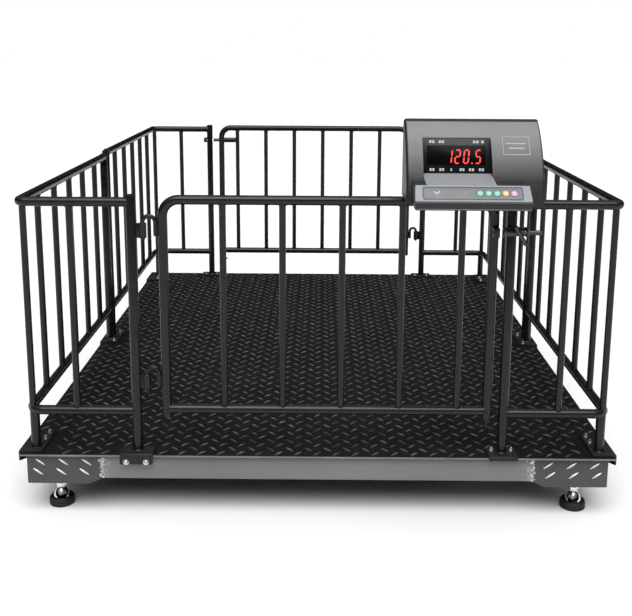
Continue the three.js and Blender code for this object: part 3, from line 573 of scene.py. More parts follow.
PRINT_DARK = moulded("print_dark", rgb(0.06), 0.5, 2500.0, 0.02, 0.1)
KEYPAD = moulded("keypad_film", (0.16, 0.165, 0.18, 1.0), 0.36, 1600.0, 0.06, 0.06)
GREEN = moulded("button_green", (0.16, 0.54, 0.38, 1.0), 0.34, 1600.0, 0.06, 0.08)
ORANGE = moulded("button_orange", (0.80, 0.40, 0.19, 1.0), 0.34, 1600.0, 0.06, 0.08)
VIOLET = moulded("button_violet", (0.60, 0.34, 0.52, 1.0), 0.34, 1600.0, 0.06, 0.08)
NAMEPLATE = moulded("nameplate_grey", rgb(0.42), 0.42, 1800.0, 0.08)
FAINT = moulded("keypad_faint", rgb(0.20), 0.4, 1600.0, 0.05)
BOARD = moulded("circuit_green", (0.02, 0.13, 0.05, 1.0), 0.35, 300.0, 0.3, 0.3)
BATTERY = moulded("battery_case", (0.03, 0.032, 0.04, 1.0), 0.4, 900.0, 0.1)


# ------------------------------------------------------------------ deck and under-frame
TREAD_PITCH = 39 * MM
TREAD_LENGTH = 26 * MM
TREAD_WIDTH = 6.6 * MM
TREAD_HEIGHT = 2.0 * MM
BAR_STATIONS = 5
BAR_SUNK = -0.3 * MM
BOX_ROW, BOX_ROW_PITCH, BOX_COLUMN, BOX_COLUMN_PITCH, BOX_ROW_SHIFT = [v * MM for v in (14, 21, 27, 47, 5)]
BOX_BAR = (25 * MM, 4.4 * MM, 1.7 * MM)
FLANK_BAR = (23 * MM, 5.2 * MM, 1.7 * MM)
SEAM_LUMPS, SEAM_SPATTER = 15, 34
THREAD_PITCH = 1.75 * MM
DRILLED_R = 6.2 * MM


def raised_bar(piece, centre, u, v, n, length, width, height, number=0):
    """A lens-shaped tread bar: u along it, v across it, n out of the plate."""
    section = [(-1.0, BAR_SUNK), (-0.62, 0.72), (0.0, 1.0), (0.62, 0.72), (1.0, BAR_SUNK)]
    tips = piece.ring(centre + u * (end * length / 2) + n * BAR_SUNK for end in (-1, 1))
    rows = []
    for k in range(BAR_STATIONS):
        s = -0.84 + 1.68 * k / (BAR_STATIONS - 1)
        half, crown = width / 2 * (1 - s * s) ** 0.75, height * (1 - s * s) ** 0.5
        rows.append(piece.ring(
            centre + u * (s * length / 2) + v * (across * half) + n * (up if up < 0 else up * crown)
            for across, up in section))
    for low, high in zip(rows, rows[1:]):
        for a in range(4):
            piece.face([low[a], low[a + 1], high[a + 1], high[a]], number)
    for a in range(4):
        piece.face([tips[0], rows[0][a + 1], rows[0][a]], number)
        piece.face([tips[1], rows[-1][a], rows[-1][a + 1]], number)
    piece.face([tips[0]] + [row[0] for row in rows] + [tips[1]] + [row[4] for row in rows[::-1]], number)


def side_spans(end):
    """Where a panel's two side brackets run along y: at the pen's corner and beside the deck's middle."""
    return [sorted((PLANE_Y[end] + end * 14 * MM, PLANE_Y[end] - end * 86 * MM)),
            sorted((MID_Y + end * 3 * MM, MID_Y + end * 45 * MM))]


def bracket_zones():
    """Rectangles of the deck that the pen's foot brackets cover, where no bar stands."""
    zones = []
    margin = 12 * MM
    for name, (side, end) in CORNERS.items():
        post_x, edge_x = GATE_POST[name], side * DECK_HI.x
        zones.append((post_x - LEAF_HALF[name], post_x + LEAF_HALF[name],
                      *sorted((EDGE_Y[end], EDGE_Y[end] - end * END_REACH))))
        zones += [(*sorted((edge_x, edge_x - side * SIDE_REACH)), *span) for span in side_spans(end)]
    return [(a - margin, b + margin, c - margin, d + margin) for a, b, c, d in zones]


def build_deck():
    """The tread plate: worn sides and two crossed families of bars, none under a foot bracket."""
    deck = Piece().block(DECK_LO, DECK_HI, edge=0.9 * MM)
    deck.bm.normal_update()
    for face in deck.bm.faces:
        if abs(face.normal.z) < 0.9 and face.calc_center_median().z > DECK_LO.z + MM:
            face.material_index = 1
    zones = bracket_zones()
    diagonal = math.sqrt(0.5)
    rim = TREAD_LENGTH / 2 * diagonal + 2 * MM
    columns, rows = [int(size / TREAD_PITCH) + 2 for size in (DECK_HI - DECK_LO).xy]
    for family in (0, 1):
        u = Vector((diagonal, diagonal if family == 0 else -diagonal, 0))
        offset = family * TREAD_PITCH / 2
        for i in range(columns):
            for j in range(rows):
                x = DECK_LO.x + offset + (i + 0.4) * TREAD_PITCH
                y = DECK_LO.y + offset + (j + 0.35) * TREAD_PITCH
                inside = DECK_LO.x + rim < x < DECK_HI.x - rim and DECK_LO.y + rim < y < DECK_HI.y - rim
                if inside and not any(a < x < b and c < y < d for a, b, c, d in zones):
                    raised_bar(deck, Vector((x, y, TOP)), u, Z.cross(u), Z, TREAD_LENGTH, TREAD_WIDTH,
                               TREAD_HEIGHT, 2)
    deck.make("tread_deck", [DECK, EDGE, TREAD], "deck_plate", ["deck_plate"], smooth=50)


def channel(name, runs, open_towards):
    """A folded channel beam that fills its node's box; runs is the axis it runs along, 0 or 1."""
    lo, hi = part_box(name)
    across = 1 - runs  # the axis the beam's depth lies along
    wall, depth, height = 3.5 * MM, hi[across] - lo[across], hi.z - lo.z
    back = (lo if open_towards > 0 else hi)[across]
    web = [(0, 0), (depth, 0), (depth, wall), (wall, wall), (wall, height - wall), (depth, height - wall),
           (depth, height), (0, height)]
    outline = fillet(web, [r * MM for r in (3, 0.8, 0.8, 2, 2, 0.8, 0.8, 3)], 3)

    def place(a, b, d):
        extrude = extrude_y if runs else extrude_x
        return extrude(back + open_towards * a, lo.z + b, d)
    Piece().prism(outline, place, (lo[runs], hi[runs])).make(f"{name}_channel", BEAM, name, [name])


def corner_box(name, side, end):
    """The folded box over a load cell, its inner lower corner cut off, with tread bars and a weld seam."""
    node = f"corner_box_{name}"
    lo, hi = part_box(node)
    outer, inner = (lo.x, hi.x) if side < 0 else (hi.x, lo.x)
    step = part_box("front_beam")[0].z - lo.z
    cut_x = inner + side * 24 * MM
    wall = 4 * MM
    out = Vector((0, end, 0))

    def outline(inset):
        towards = -side * inset
        low = lo.z - (1 * MM if inset else 0)
        return [(outer + towards, low), (outer + towards, hi.z - inset), (inner - towards, hi.z - inset),
                (inner - towards, lo.z + step + inset / 2), (cut_x - towards / 2, low)]

    rounded = fillet(outline(0), [r * MM for r in (1.2, 5, 3, 3, 3)], 4)
    shell = Piece().prism(rounded, extrude_y, (lo.y, hi.y), 1.6 * MM, 3).loose()
    combine(shell, Piece().prism(outline(wall), extrude_y, (lo.y + wall, hi.y - wall)))
    finish_piece(shell, f"{node}_shell", BOX, node, [node], smooth=35)

    bars, flank = Piece(), Piece()
    slant = Vector((-side * end * 0.82, 0, 0.57))
    for column in range(3):
        for row in range(2):
            x = outer - side * (BOX_COLUMN + column * BOX_COLUMN_PITCH) + side * row * BOX_ROW_SHIFT
            spot = Vector((x, lo.y if end < 0 else hi.y, hi.z - BOX_ROW - row * BOX_ROW_PITCH))
            raised_bar(bars, spot, slant.normalized(), out.cross(slant).normalized(), out, *BOX_BAR)
    bars.make(f"{node}_bars", BRIGHT_BAR, node, smooth=50)
    for column in range(2):
        for row in range(2):
            y = (lo.y + hi.y) / 2 + (column - 0.5) * 36 * MM
            raised_bar(flank, Vector((outer, y, hi.z - BOX_ROW - row * BOX_ROW_PITCH)),
                       Vector((0, 0.82, 0.57)).normalized(), Vector((0, -0.57, 0.82)).normalized(),
                       X * side, *FLANK_BAR)
    flank.make(f"{node}_side_bars", BOX, node, smooth=50)

    seam = Piece()
    beam_lo, beam_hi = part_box(f"{WHICH[end]}_beam")
    weld_y = beam_lo.y if end < 0 else beam_hi.y
    height = beam_hi.z - beam_lo.z - 6 * MM
    for k in range(SEAM_LUMPS):
        swell, rise = rng.uniform(1.9, 4.2) * MM, rng.uniform(1.3, 2.6) * MM
        spot = Vector((inner - side * rng.uniform(-2.5, 4.5) * MM, weld_y - end * 0.3 * MM,
                       beam_lo.z + 3 * MM + height * (k + rng.uniform(-0.4, 0.4)) / (SEAM_LUMPS - 1)))
        spot.z = min(max(spot.z, beam_lo.z + 3.5 * MM), beam_hi.z - 4.5 * MM)
        seam.turned([(0, -0.4 * MM), (swell, -0.2 * MM), (swell * 0.85, rise * 0.5), (swell * 0.5, rise * 0.87),
                     (0, rise)], spot, out, 9)
    for _ in range(SEAM_SPATTER):
        spot = Vector((inner - side * rng.uniform(1, 15) * MM, weld_y,
                       rng.uniform(beam_lo.z + 2 * MM, beam_hi.z - 3 * MM)))
        seam.turned(mm((0, -0.2), (rng.uniform(0.4, 1.2), 0), (0, rng.uniform(0.3, 0.8))), spot, out, 6)
    seam.make(f"{node}_weld", WELD, node, slot="cell_steel")


def build_foot(name):
    """A levelling foot: a rubber pad, and a plated bell with its nut and threaded stud."""
    pad_node, stud_node = f"foot_pad_{name}", f"foot_stud_{name}"
    lo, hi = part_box(pad_node)
    spot = Vector(((lo.x + hi.x) / 2, (lo.y + hi.y) / 2, 0))
    radius, height = (hi.x - lo.x) / 2, hi.z
    dome_r, seat, crown = 18.5 * MM, 12.6 * MM, 38 * MM
    inner_rim, floor = dome_r + 0.7 * MM, 12.3 * MM
    side = [(radius - inset * MM, z * MM) for inset, z in (
        (1.2, 0), (0.2, 1.0), (0, 2.6), (0, 5.2), (0.9, 5.9), (0.9, 6.7), (0, 7.4), (0, 11), (0.5, 13.4), (1.8, 15.6))]
    profile = [(0, 0), *side, (radius - 3.6 * MM, height), (inner_rim + 0.6 * MM, height),
               (inner_rim, height - 0.7 * MM), (inner_rim, floor), (0, floor)]
    Piece().turned(profile, spot, Z, 56).make(f"{pad_node}_moulding", RUBBER, pad_node, [pad_node])

    cone_z = seat + 1.2 * MM
    bell = [(0, seat), (dome_r - 0.5 * MM, seat), (dome_r, seat + 0.5 * MM), (dome_r, cone_z)]
    for share in [k / 10 for k in range(1, 11)]:
        swell = math.sin(share * math.pi) * 1.5 * MM
        bell.append((dome_r - 0.3 * MM - share * (dome_r - 8.6 * MM) + swell, cone_z + share * 21.9 * MM))
    bell += [(8 * MM, crown), (6 * MM, crown), (0, crown)]
    first = 47 * MM
    turns = int((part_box(stud_node)[1].z - first) / THREAD_PITCH)
    thread = [(0, 46 * MM)]
    for z in [first + k * THREAD_PITCH for k in range(turns)]:
        thread += [(5.7 * MM, z), (6.4 * MM, z + 0.7 * MM), (6.4 * MM, z + 0.95 * MM)]
    thread.append((0, first + turns * THREAD_PITCH))
    stud = Piece().turned(bell, spot, Z, 56).nut(spot + Z * 38.2 * MM, Z, 11 * MM, 8.6 * MM)
    stud.turned(thread, spot, Z, 28).make(f"{stud_node}_bell", CHROME, stud_node, [stud_node], smooth=40)


# ------------------------------------------------------------------ pen
def foot_leaf(piece, reach, drop, place, span):
    """A folded strip over the deck's edge: reach onto the deck, drop down its side."""
    over = LEAF_GAP + LEAF
    leaf = [(-reach, LEAF_GAP), (-reach, over), (over, over), (over, -drop), (LEAF_GAP, -drop), (LEAF_GAP, LEAF_GAP)]
    piece.prism(fillet(leaf, [r * MM for r in (0.6, 1, 3.2, 1, 0.6, 0)], 4), place, span, 0.8 * MM)


def post(piece, x, y, z1):
    """An upright with a slightly domed cap, welded to its bracket."""
    cap = [(z1 - down * MM, POST_R - inset * MM) for down, inset in ((2.2, 0), (1.0, 0.4), (0.3, 1.6), (0, 4))]
    levels = [(LEAF_TOP - 2 * MM, POST_R), *cap]
    piece.tube([(x, y, z) for z, _ in levels], [r for _, r in levels], 28)
    return piece.foot_weld(x, y, POST_R)


def welded_bar(piece, x, y, low, high, rail):
    """A bar between two rails that run along rail, welded to both."""
    piece.tube([(x, y, low), (x, y, high)], BAR_R, 20)
    piece.saddle((x, y, low), Z, rail, BAR_R, RAIL_R, 1.3 * MM)
    piece.saddle((x, y, high), -Z, rail, BAR_R, RAIL_R, 1.3 * MM)


def build_panel(name, side, end):
    """A fixed corner panel: gateway post, bent rails, bars, side posts and foot brackets."""
    node = f"fence_{name}"
    post_top, post_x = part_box(node)[1].z, GATE_POST[name]
    x, y = side * SIDE_X, PLANE_Y[end]
    top_z = TOP_RAIL + (BACK_RISE if end > 0 else 0)
    end_y = MID_Y + end * END_POST_OFFSET
    panel = Piece()
    for z, bend in ((BOTTOM_RAIL, BOTTOM_BEND), (top_z, TOP_BEND)):
        panel.tube(arc_path([(post_x, y, z), (x, y, z), (x, end_y, z)], bend), RAIL_R, 28)
        panel.saddle((post_x, y, z), X * side, Z, RAIL_R * 0.96, POST_R, 1.7 * MM)
        panel.saddle((x, end_y, z), Y * end, Z, RAIL_R * 0.96, POST_R, 1.7 * MM)
    if name == "back_left":
        drilled = post(Piece(), post_x, y, post_top).loose()
        bolt_z = middle("back_bolt_keeper").z
        combine(drilled, Piece().tube([(post_x + d, y, bolt_z) for d in (-20 * MM, 20 * MM)], DRILLED_R, 28))
        finish_piece(drilled, f"{node}_latch_post", TUBE, node)
    else:
        post(panel, post_x, y, post_top)
    post(panel, x, end_y, top_z + 6 * MM)
    leg = (x - side * CORNER_LEG_INSET, y - end * CORNER_LEG_INSET)
    panel.tube([(*leg, LEAF_TOP - 2 * MM), (*leg, BOTTOM_RAIL)], RAIL_R, 28).foot_weld(*leg, RAIL_R)
    bar = (x - side * CORNER_BAR_INSET, y - end * CORNER_BAR_INSET)
    panel.tube([(*bar, BOTTOM_RAIL), (*bar, top_z)], BAR_R, 20)
    welded_bar(panel, side * END_BAR, y, BOTTOM_RAIL, top_z, X)
    for k in range(1, 6):
        welded_bar(panel, x, y - end * k * SIDE_PITCH, BOTTOM_RAIL, top_z, Y)
    panel.make(f"{node}_panel", TUBE, node, [node])

    brackets, edge_x = Piece(), side * DECK_HI.x
    half = LEAF_HALF[name]
    foot_leaf(brackets, END_REACH, LEAF_DROP[name], lambda a, b, d: Vector((d, EDGE_Y[end] + end * a, TOP + b)),
              (post_x - half, post_x + half))
    for span in side_spans(end):
        foot_leaf(brackets, SIDE_REACH, SIDE_DROP, lambda a, b, d: Vector((edge_x + side * a, d, TOP + b)), span)
    brackets.make(f"{node}_brackets", BRACKET, node)

    bolts = Piece()
    for bolt_x in (post_x - 20 * MM, post_x + 20 * MM):
        if name == "front_left":
            bolts.bolt((bolt_x, EDGE_Y[end] - LEAF_GAP - LEAF, TOP - 13 * MM), -Y, 3 * MM, domed=True)
        else:
            bolts.bolt((bolt_x, EDGE_Y[end] - end * 28 * MM, LEAF_TOP), Z, 2.6 * MM)
    for bolt_y in (y - end * 44 * MM, y - end * 74 * MM, MID_Y + end * 37 * MM):
        bolts.bolt((side * (DECK_HI.x - 34 * MM), bolt_y, LEAF_TOP), Z, 2.6 * MM)
    bolts.make(f"{node}_bolts", ZINC, node, slot="foot_chrome")


def gate_stiles(end):
    """The x of a gate's hinge stile and latch stile."""
    lo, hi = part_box(f"{WHICH[end]}_gate")
    return (lo.x + RAIL_R, hi.x - RAIL_R)[::-end]


def build_gate(end):
    """A swinging gate: a bent hoop, bottom rail, welded bars and the latch-side toe."""
    node = f"{WHICH[end]}_gate"
    lo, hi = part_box(node)
    y = PLANE_Y[end]
    hinge_x, latch_x = gate_stiles(end)
    top_z, low_z = hi.z - RAIL_R, BOTTOM_RAIL + GATE_RISE
    tail = low_z - 14 * MM
    gate = Piece()
    gate.tube(arc_path([(hinge_x, y, tail), (hinge_x, y, top_z), (latch_x, y, top_z), (latch_x, y, tail)],
                       GATE_BEND), RAIL_R, 28)
    gate.rod((hinge_x, y, low_z), (latch_x, y, low_z), RAIL_R, 28)
    for stile, towards in ((hinge_x, -end), (latch_x, end)):
        gate.saddle((stile, y, low_z), X * towards, Z, RAIL_R * 0.97, RAIL_R, 1.6 * MM)
    count, pitch = GATE_BARS[end]
    for k in range(1, count + 1):
        welded_bar(gate, hinge_x - end * k * pitch, y, low_z, top_z, X)
    gate.rod((latch_x, y, lo.z + 2 * MM), (latch_x, y, low_z), 4.5 * MM, 16)
    toe = sorted((latch_x - 3 * MM, latch_x + end * 15 * MM))
    gate.block((toe[0], y - 6 * MM, lo.z), (toe[1], y + 6 * MM, lo.z + 5 * MM), 1 * MM)
    gate.make(f"{node}_frame", TUBE, node, [node])


def build_hinges(end):
    """Two lift-off hinges: a sleeve welded to the post, a bent pin welded to the gate's stile."""
    y = PLANE_Y[end]
    axis_x = JOINT[f"{WHICH[end]}_gate_swing"]["pos_m"][0]
    stile_x = gate_stiles(end)[0]
    leg_x = stile_x + end * 14.1 * MM
    reach = abs(axis_x - leg_x) / 2
    weld_x = (leg_x + stile_x + end * 5 * MM) / 2
    for level in ("lower", "upper"):
        node = f"{WHICH[end]}_hinge_sleeve_{level}"
        lo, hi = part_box(node)
        post_face = lo.x if end < 0 else hi.x
        sleeve = Piece()
        sleeve.turned(pipe_profile(4.8 * MM, 7.5 * MM, hi.z - lo.z, 0.5 * MM, 0.9 * MM), (axis_x, y, lo.z), Z, 32)
        web = sorted((axis_x + end * 6.0 * MM, post_face))
        sleeve.block((web[0], y - 3 * MM, lo.z + 0.5 * MM), (web[1], y + 3 * MM, hi.z - 0.5 * MM), 0.8 * MM)
        for face in (-1, 1):
            sleeve.bead([(post_face, y + face * 3.2 * MM, lo.z + 1 * MM + k * 2.33 * MM) for k in range(13)],
                        1.3 * MM, closed=False)
        sleeve.make(f"{node}_barrel", TUBE, node, [node])

        node = f"{WHICH[end]}_hinge_pin_{level}"
        pin, crown = Piece(), lo.z + 31 * MM + reach
        path = arc_path([(axis_x, y, lo.z - 4 * MM), (axis_x, y, crown), (leg_x, y, crown), (leg_x, y, lo.z + 4 * MM)],
                        reach - 0.01 * MM, 9)
        path = [path[0], path[0] + Z * MM, *path[1:-1], path[-1] + Z * MM, path[-1]]
        pin.tube(path, [3.6 * MM, *[4.25 * MM] * (len(path) - 2), 3.6 * MM], 20)
        for face in (-1, 1):
            pin.bead([(weld_x, y + face * 2.6 * MM, lo.z + 6 * MM + k * 2 * MM) for k in range(12)],
                     1.2 * MM, closed=False)
        pin.make(f"{node}_rod", TUBE, node, [node])


# ------------------------------------------------------------------ latches
def build_front_latch():
    """The front gate's bolt with its slanted grip, the strap that guides it and the keeper block."""
    lo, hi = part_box("front_bolt_guide")
    z, axis_y, bore = (lo.z + hi.z) / 2, FRONT_Y - 23 * MM, 5.5 * MM

    def bore_through(x0, x1):
        return Piece().tube([(x0, axis_y, z), (x1, axis_y, z)], bore, 28)

    guide = Piece().block((lo.x, hi.y - LEAF, lo.z), (hi.x, hi.y, hi.z), 0.9 * MM).loose()
    root = hi.y - 0.5 * MM
    ear = fillet([(lo.y, lo.z), (lo.y, hi.z), (root, hi.z), (root, lo.z)], [5 * MM, 5 * MM, 0.6 * MM, 0.6 * MM], 5)
    for x in (lo.x, hi.x - LEAF):
        combine(guide, Piece().prism(ear, extrude_x, (x, x + LEAF), 0.5 * MM), "UNION")
    combine(guide, bore_through(lo.x - 9 * MM, hi.x + 9 * MM))
    finish_piece(guide, "front_bolt_guide_strap", LATCH, "front_bolt_guide", ["front_bolt_guide"])

    lo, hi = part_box("front_bolt_keeper")
    keeper = Piece().block(lo, hi, 1.2 * MM, 3).loose()
    combine(keeper, bore_through(2 * lo.x - hi.x, 2 * hi.x - lo.x))
    finish_piece(keeper, "front_bolt_keeper_block", TUBE, "front_bolt_keeper", ["front_bolt_keeper"])

    lo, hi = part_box("front_bolt")
    bolt = Piece().rod((lo.x, axis_y, z), (hi.x, axis_y, z), 5 * MM, 24, 1.2 * MM)
    stem, handle_y = lo.x + 30.5 * MM, axis_y - 14 * MM
    bolt.rod((stem, axis_y, z), (stem, handle_y, z), 3.5 * MM, 16)
    grip = [Vector((stem - 9 * MM, handle_y, z + 15 * MM)), Vector((stem + 13 * MM, handle_y, z - 22 * MM))]
    along = (grip[1] - grip[0]).normalized() * MM
    bolt.tube([grip[0], grip[0] + along, grip[1] - along, grip[1]], [2.9 * MM, 4 * MM, 4 * MM, 2.9 * MM], 20)
    bolt.bead(circle((stem, handle_y + 3.6 * MM, z), X, Z, 3.6 * MM, 12), 1.0 * MM)
    bolt.make("front_bolt_rod", LATCH, "front_bolt", ["front_bolt"])


def build_back_latch():
    """The back gate's bolt with its knob, its slotted sleeve and the keeper ring."""
    z, bore = middle("back_bolt_keeper").z, 6 * MM
    for node in ("back_bolt_keeper", "back_bolt_sleeve"):
        lo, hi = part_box(node)
        profile = pipe_profile(bore, 8.5 * MM, hi.x - lo.x, 0.4 * MM, 0.8 * MM)
        ring = Piece().turned(profile, (lo.x, BACK_Y, z), X, 36).loose()
        if node == "back_bolt_sleeve":
            combine(ring, Piece().block((lo.x + 2.2 * MM, BACK_Y, z - 3.6 * MM),
                                        (hi.x - 2.4 * MM, BACK_Y + 12 * MM, z + 3.6 * MM), 1.6 * MM))
        finish_piece(ring, f"{node}_ring", TUBE, node, [node])
    lo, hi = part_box("back_bolt")
    stem = hi.x - 3.5 * MM
    bolt = Piece().rod((lo.x, BACK_Y, z), (hi.x, BACK_Y, z), 5.5 * MM, 24, 1.2 * MM)
    bolt.rod((stem, BACK_Y, z), (stem, BACK_Y + 21 * MM, z), 3 * MM, 16)
    knob = mm((0, 0), (4.6, 0), (6, 1.3), (6, 4.6), (4.6, 6.4), (0, 7))
    bolt.turned(knob, (stem, BACK_Y + 20 * MM, z), Y, 28)
    bolt.make("back_bolt_rod", LATCH, "back_bolt", ["back_bolt"])


# ------------------------------------------------------------------ indicator
CASE_LO, CASE_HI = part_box("indicator_case")
BASE_Z = CASE_LO.z
WALL = 3 * MM
SHELF_MID = (CASE_LO.x + CASE_HI.x) / 2 - 13 * MM
SHELF_HALF = 102 * MM
BUTTON_BORE = 6.95 * MM
DISPLAY_OPENING = (105 * MM, 40 * MM)
HEAD_Z, HEAD_Y = TOP + 675.5 * MM, FRONT_Y - 26 * MM


def at(y, z):
    """A point of the indicator's side profile, in millimetres from the pen's front plane and the deck."""
    return Vector((FRONT_Y + y * MM, TOP + z * MM))


SHELF_REAR, SHELF_EDGE = at(-150, 572), at(-173, 547.5)
DISPLAY_TOP, DISPLAY_FOOT = at(-60.5, 647), at(-84, 584)
BODY_HEAD, BODY_PULL, BODY_FOOT = at(-24.9, 679), at(-92, 634), at(-114, 545)


def slope_frame(centre_x, low, high):
    """A frame on a sloping panel: x across, y up the slope, z out of it."""
    up = Vector((0, high.x - low.x, high.y - low.y)).normalized()
    turn = Matrix((X, up, X.cross(up))).transposed().to_4x4()
    turn.translation = Vector((centre_x, (low.x + high.x) / 2, (low.y + high.y) / 2))
    return turn


WINDOW_LO, WINDOW_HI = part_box("display_window")
PANEL_LO, PANEL_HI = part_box("keypad_panel")
DISPLAY = slope_frame((WINDOW_LO.x + WINDOW_HI.x) / 2, DISPLAY_FOOT, DISPLAY_TOP)
KEYS = slope_frame((PANEL_LO.x + PANEL_HI.x) / 2, SHELF_EDGE, SHELF_REAR)
DISPLAY_HALF = (WINDOW_HI.x - WINDOW_LO.x) / 2 + 0.5 * MM
DISPLAY_MID = DISPLAY.translation.x
KEYPAD_WIDTH, KEYPAD_DEPTH = PANEL_HI.x - PANEL_LO.x, 27 * MM
BUTTONS = {"zero": GREEN, "tare": GREEN, "total": GREEN, "print": ORANGE, "power": VIOLET}
BUTTON_X = {name: middle(f"button_{name}").x - KEYS.translation.x for name in BUTTONS}


def body_outline(inset, back):
    """The case's side profile: flat back, rounded head and a long curved front."""
    head = BODY_HEAD - Vector((0, inset))
    foot = BODY_FOOT + Vector((inset, 0))
    shoulder = Vector((back, at(0, 672).y - inset))
    return [Vector((back, BASE_Z + inset)), shoulder,
            *curve_points(shoulder, (back, at(0, 679).y - inset), head, 8),
            *curve_points(head, BODY_PULL + Vector((inset, -inset)), foot, 30), Vector((foot.x, BASE_Z + inset))]


def shelf_outline(inset, rounding=0.0):
    """The keypad shelf's side profile."""
    rear_y, face_y, down = at(-98, 0).x, CASE_LO.y + 0.5 * MM + inset, Vector((0, inset))
    points = [Vector((rear_y, BASE_Z + inset)), Vector((rear_y, SHELF_REAR.y + 1 * MM - inset)),
              SHELF_REAR - down, SHELF_EDGE - down,
              Vector((face_y, SHELF_EDGE.y - 3 * MM - inset)), Vector((face_y, BASE_Z + inset))]
    return fillet(points, [0, 0, 0, rounding, rounding, rounding], 4) if rounding else points


def bore_for_buttons(target, sides):
    """Cuts the five button holes through a panel."""
    for x in BUTTON_X.values():
        combine(target, Piece().tube([KEYS @ Vector((x, 0, n)) for n in (-9 * MM, 4 * MM)], BUTTON_BORE, sides))


def build_case():
    """The hollow case: lofted body, keypad shelf, display pocket and openings, with its faces' finishes."""
    left, right, back = CASE_LO.x, CASE_HI.x, CASE_HI.y
    rounding, steps = 5 * MM, 5
    quarter = [math.pi / 2 * k / steps for k in range(steps + 1)]
    ends = [(left + rounding * (1 - math.cos(t)), rounding * (1 - math.sin(t))) for t in quarter]
    ends += [(left + right - x, inset) for x, inset in ends[::-1]]
    body = Piece().loft([[extrude_x(p.x, p.y, x) for p in body_outline(inset, back)] for x, inset in ends]).loose()
    shelf = (SHELF_MID - SHELF_HALF, SHELF_MID + SHELF_HALF)
    combine(body, Piece().prism(shelf_outline(0, 2.2 * MM), extrude_x, shelf, 1.8 * MM, 3), "UNION")
    hollow = Piece().prism(body_outline(WALL, back + 5 * MM), extrude_x, (left + 2 * WALL, right - 2 * WALL)).loose()
    combine(hollow, Piece().prism(shelf_outline(WALL), extrude_x, (shelf[0] + WALL, shelf[1] - WALL)), "UNION")

    ahead = at(-190, 0).x
    x0, x1 = DISPLAY_MID - DISPLAY_HALF, DISPLAY_MID + DISPLAY_HALF
    backing = [DISPLAY_TOP + Vector((4, 8)) * MM, DISPLAY_FOOT + Vector((4, -2)) * MM,
               SHELF_REAR + Vector((3, -3)) * MM, Vector((ahead, SHELF_REAR.y - WALL)),
               Vector((ahead, DISPLAY_TOP.y + 8 * MM))]
    combine(hollow, Piece().prism(backing, extrude_x, (x0 - WALL, x1 + WALL)))
    combine(body, hollow)
    pocket = [DISPLAY_TOP, DISPLAY_FOOT, SHELF_REAR, Vector((ahead, SHELF_REAR.y)), Vector((ahead, DISPLAY_TOP.y))]
    combine(body, Piece().prism(pocket, extrude_x, (x0, x1)))
    combine(body, Piece().slab(*DISPLAY_OPENING, -12 * MM, 2 * MM, DISPLAY))
    combine(body, Piece().slab(KEYPAD_WIDTH + 1 * MM, KEYPAD_DEPTH + 1 * MM, -1.2 * MM, 8 * MM, KEYS,
                               corner=3.5 * MM))
    bore_for_buttons(body, 32)
    finish_piece(body, "indicator_case_shell", [HOUSING, TRIM, SHELF_GREY, BAND], "indicator_case",
                 ["indicator_case"], smooth=28)
    slope, sill_z = KEYS.to_3x3() @ Z, (SHELF_REAR.y + DISPLAY_FOOT.y) / 2
    for face in body.data.polygons:
        centre, normal = face.center, face.normal
        on_head = centre.z > HEAD_Z or centre.y > HEAD_Y
        on_slope = normal.dot(slope) > 0.985 and centre.z < SHELF_REAR.y + MM
        on_sill = normal.z > 0.9 and abs(centre.z - sill_z) < 3 * MM
        if centre.y < CASE_LO.y + 2 * MM and normal.y < -0.5 and centre.z < SHELF_EDGE.y:
            face.material_index = 3
        elif on_slope or on_sill:
            face.material_index = 2
        else:
            face.material_index = int((on_head and normal.z > -0.2) or abs(normal.x) > 0.8)


def strip(piece, x0, x1, t0, t1):
    """A raised line lying on the case's curved front, between two places t along the curve."""
    steps, lift, sunk = 6, 0.45 * MM, 0.5 * MM
    top, low = [], []
    for t in [t0 + (t1 - t0) * k / steps for k in range(steps + 1)]:
        spot = (1 - t) ** 2 * BODY_HEAD + 2 * t * (1 - t) * BODY_PULL + t * t * BODY_FOOT
        run = 2 * (1 - t) * (BODY_PULL - BODY_HEAD) + 2 * t * (BODY_FOOT - BODY_PULL)
        normal = Vector((run.y, -run.x)).normalized()
        top.append(spot + normal * lift)
        low.append(spot - normal * sunk)
    piece.prism(top + low[::-1], extrude_x, (x0, x1), 0.12 * MM, 1)


def build_nameplate():
    """A blank nameplate: a raised frame and two plain raised lines, with no lettering."""
    plate = Piece()
    x0, x1 = CASE_HI.x - 73 * MM, CASE_HI.x - 24 * MM
    t0, t1, line, step = 0.29, 0.525, 0.9 * MM, 0.009
    for edges in ((x0, x1, t0, t0 + step), (x0, x1, t1, t1 + step), (x0, x0 + line, t0, t1 + step),
                  (x1 - line, x1, t0, t1 + step), (x0 + 6 * MM, x1 - 7 * MM, 0.38, 0.395),
                  (x0 + 11 * MM, x1 - 10 * MM, 0.44, 0.458)):
        strip(plate, *edges)
    plate.make("indicator_nameplate", NAMEPLATE, "indicator_case")


def segment(piece, a, b, half, slant, origin, n):
    """One hexagonal LED bar from a to b, leaned over by slant."""
    a, b = Vector(a), Vector(b)
    along = (b - a).normalized() * half
    side = Vector((-along.y, along.x))
    outline = [a, a + along + side, b - along + side, b, b - along - side, a + along - side]
    lean = [Vector((p.x + p.y * slant, p.y)) + origin for p in outline]
    piece.prism(lean, lambda u, v, d: DISPLAY @ Vector((u, v, d)), (n, n + 0.25 * MM))


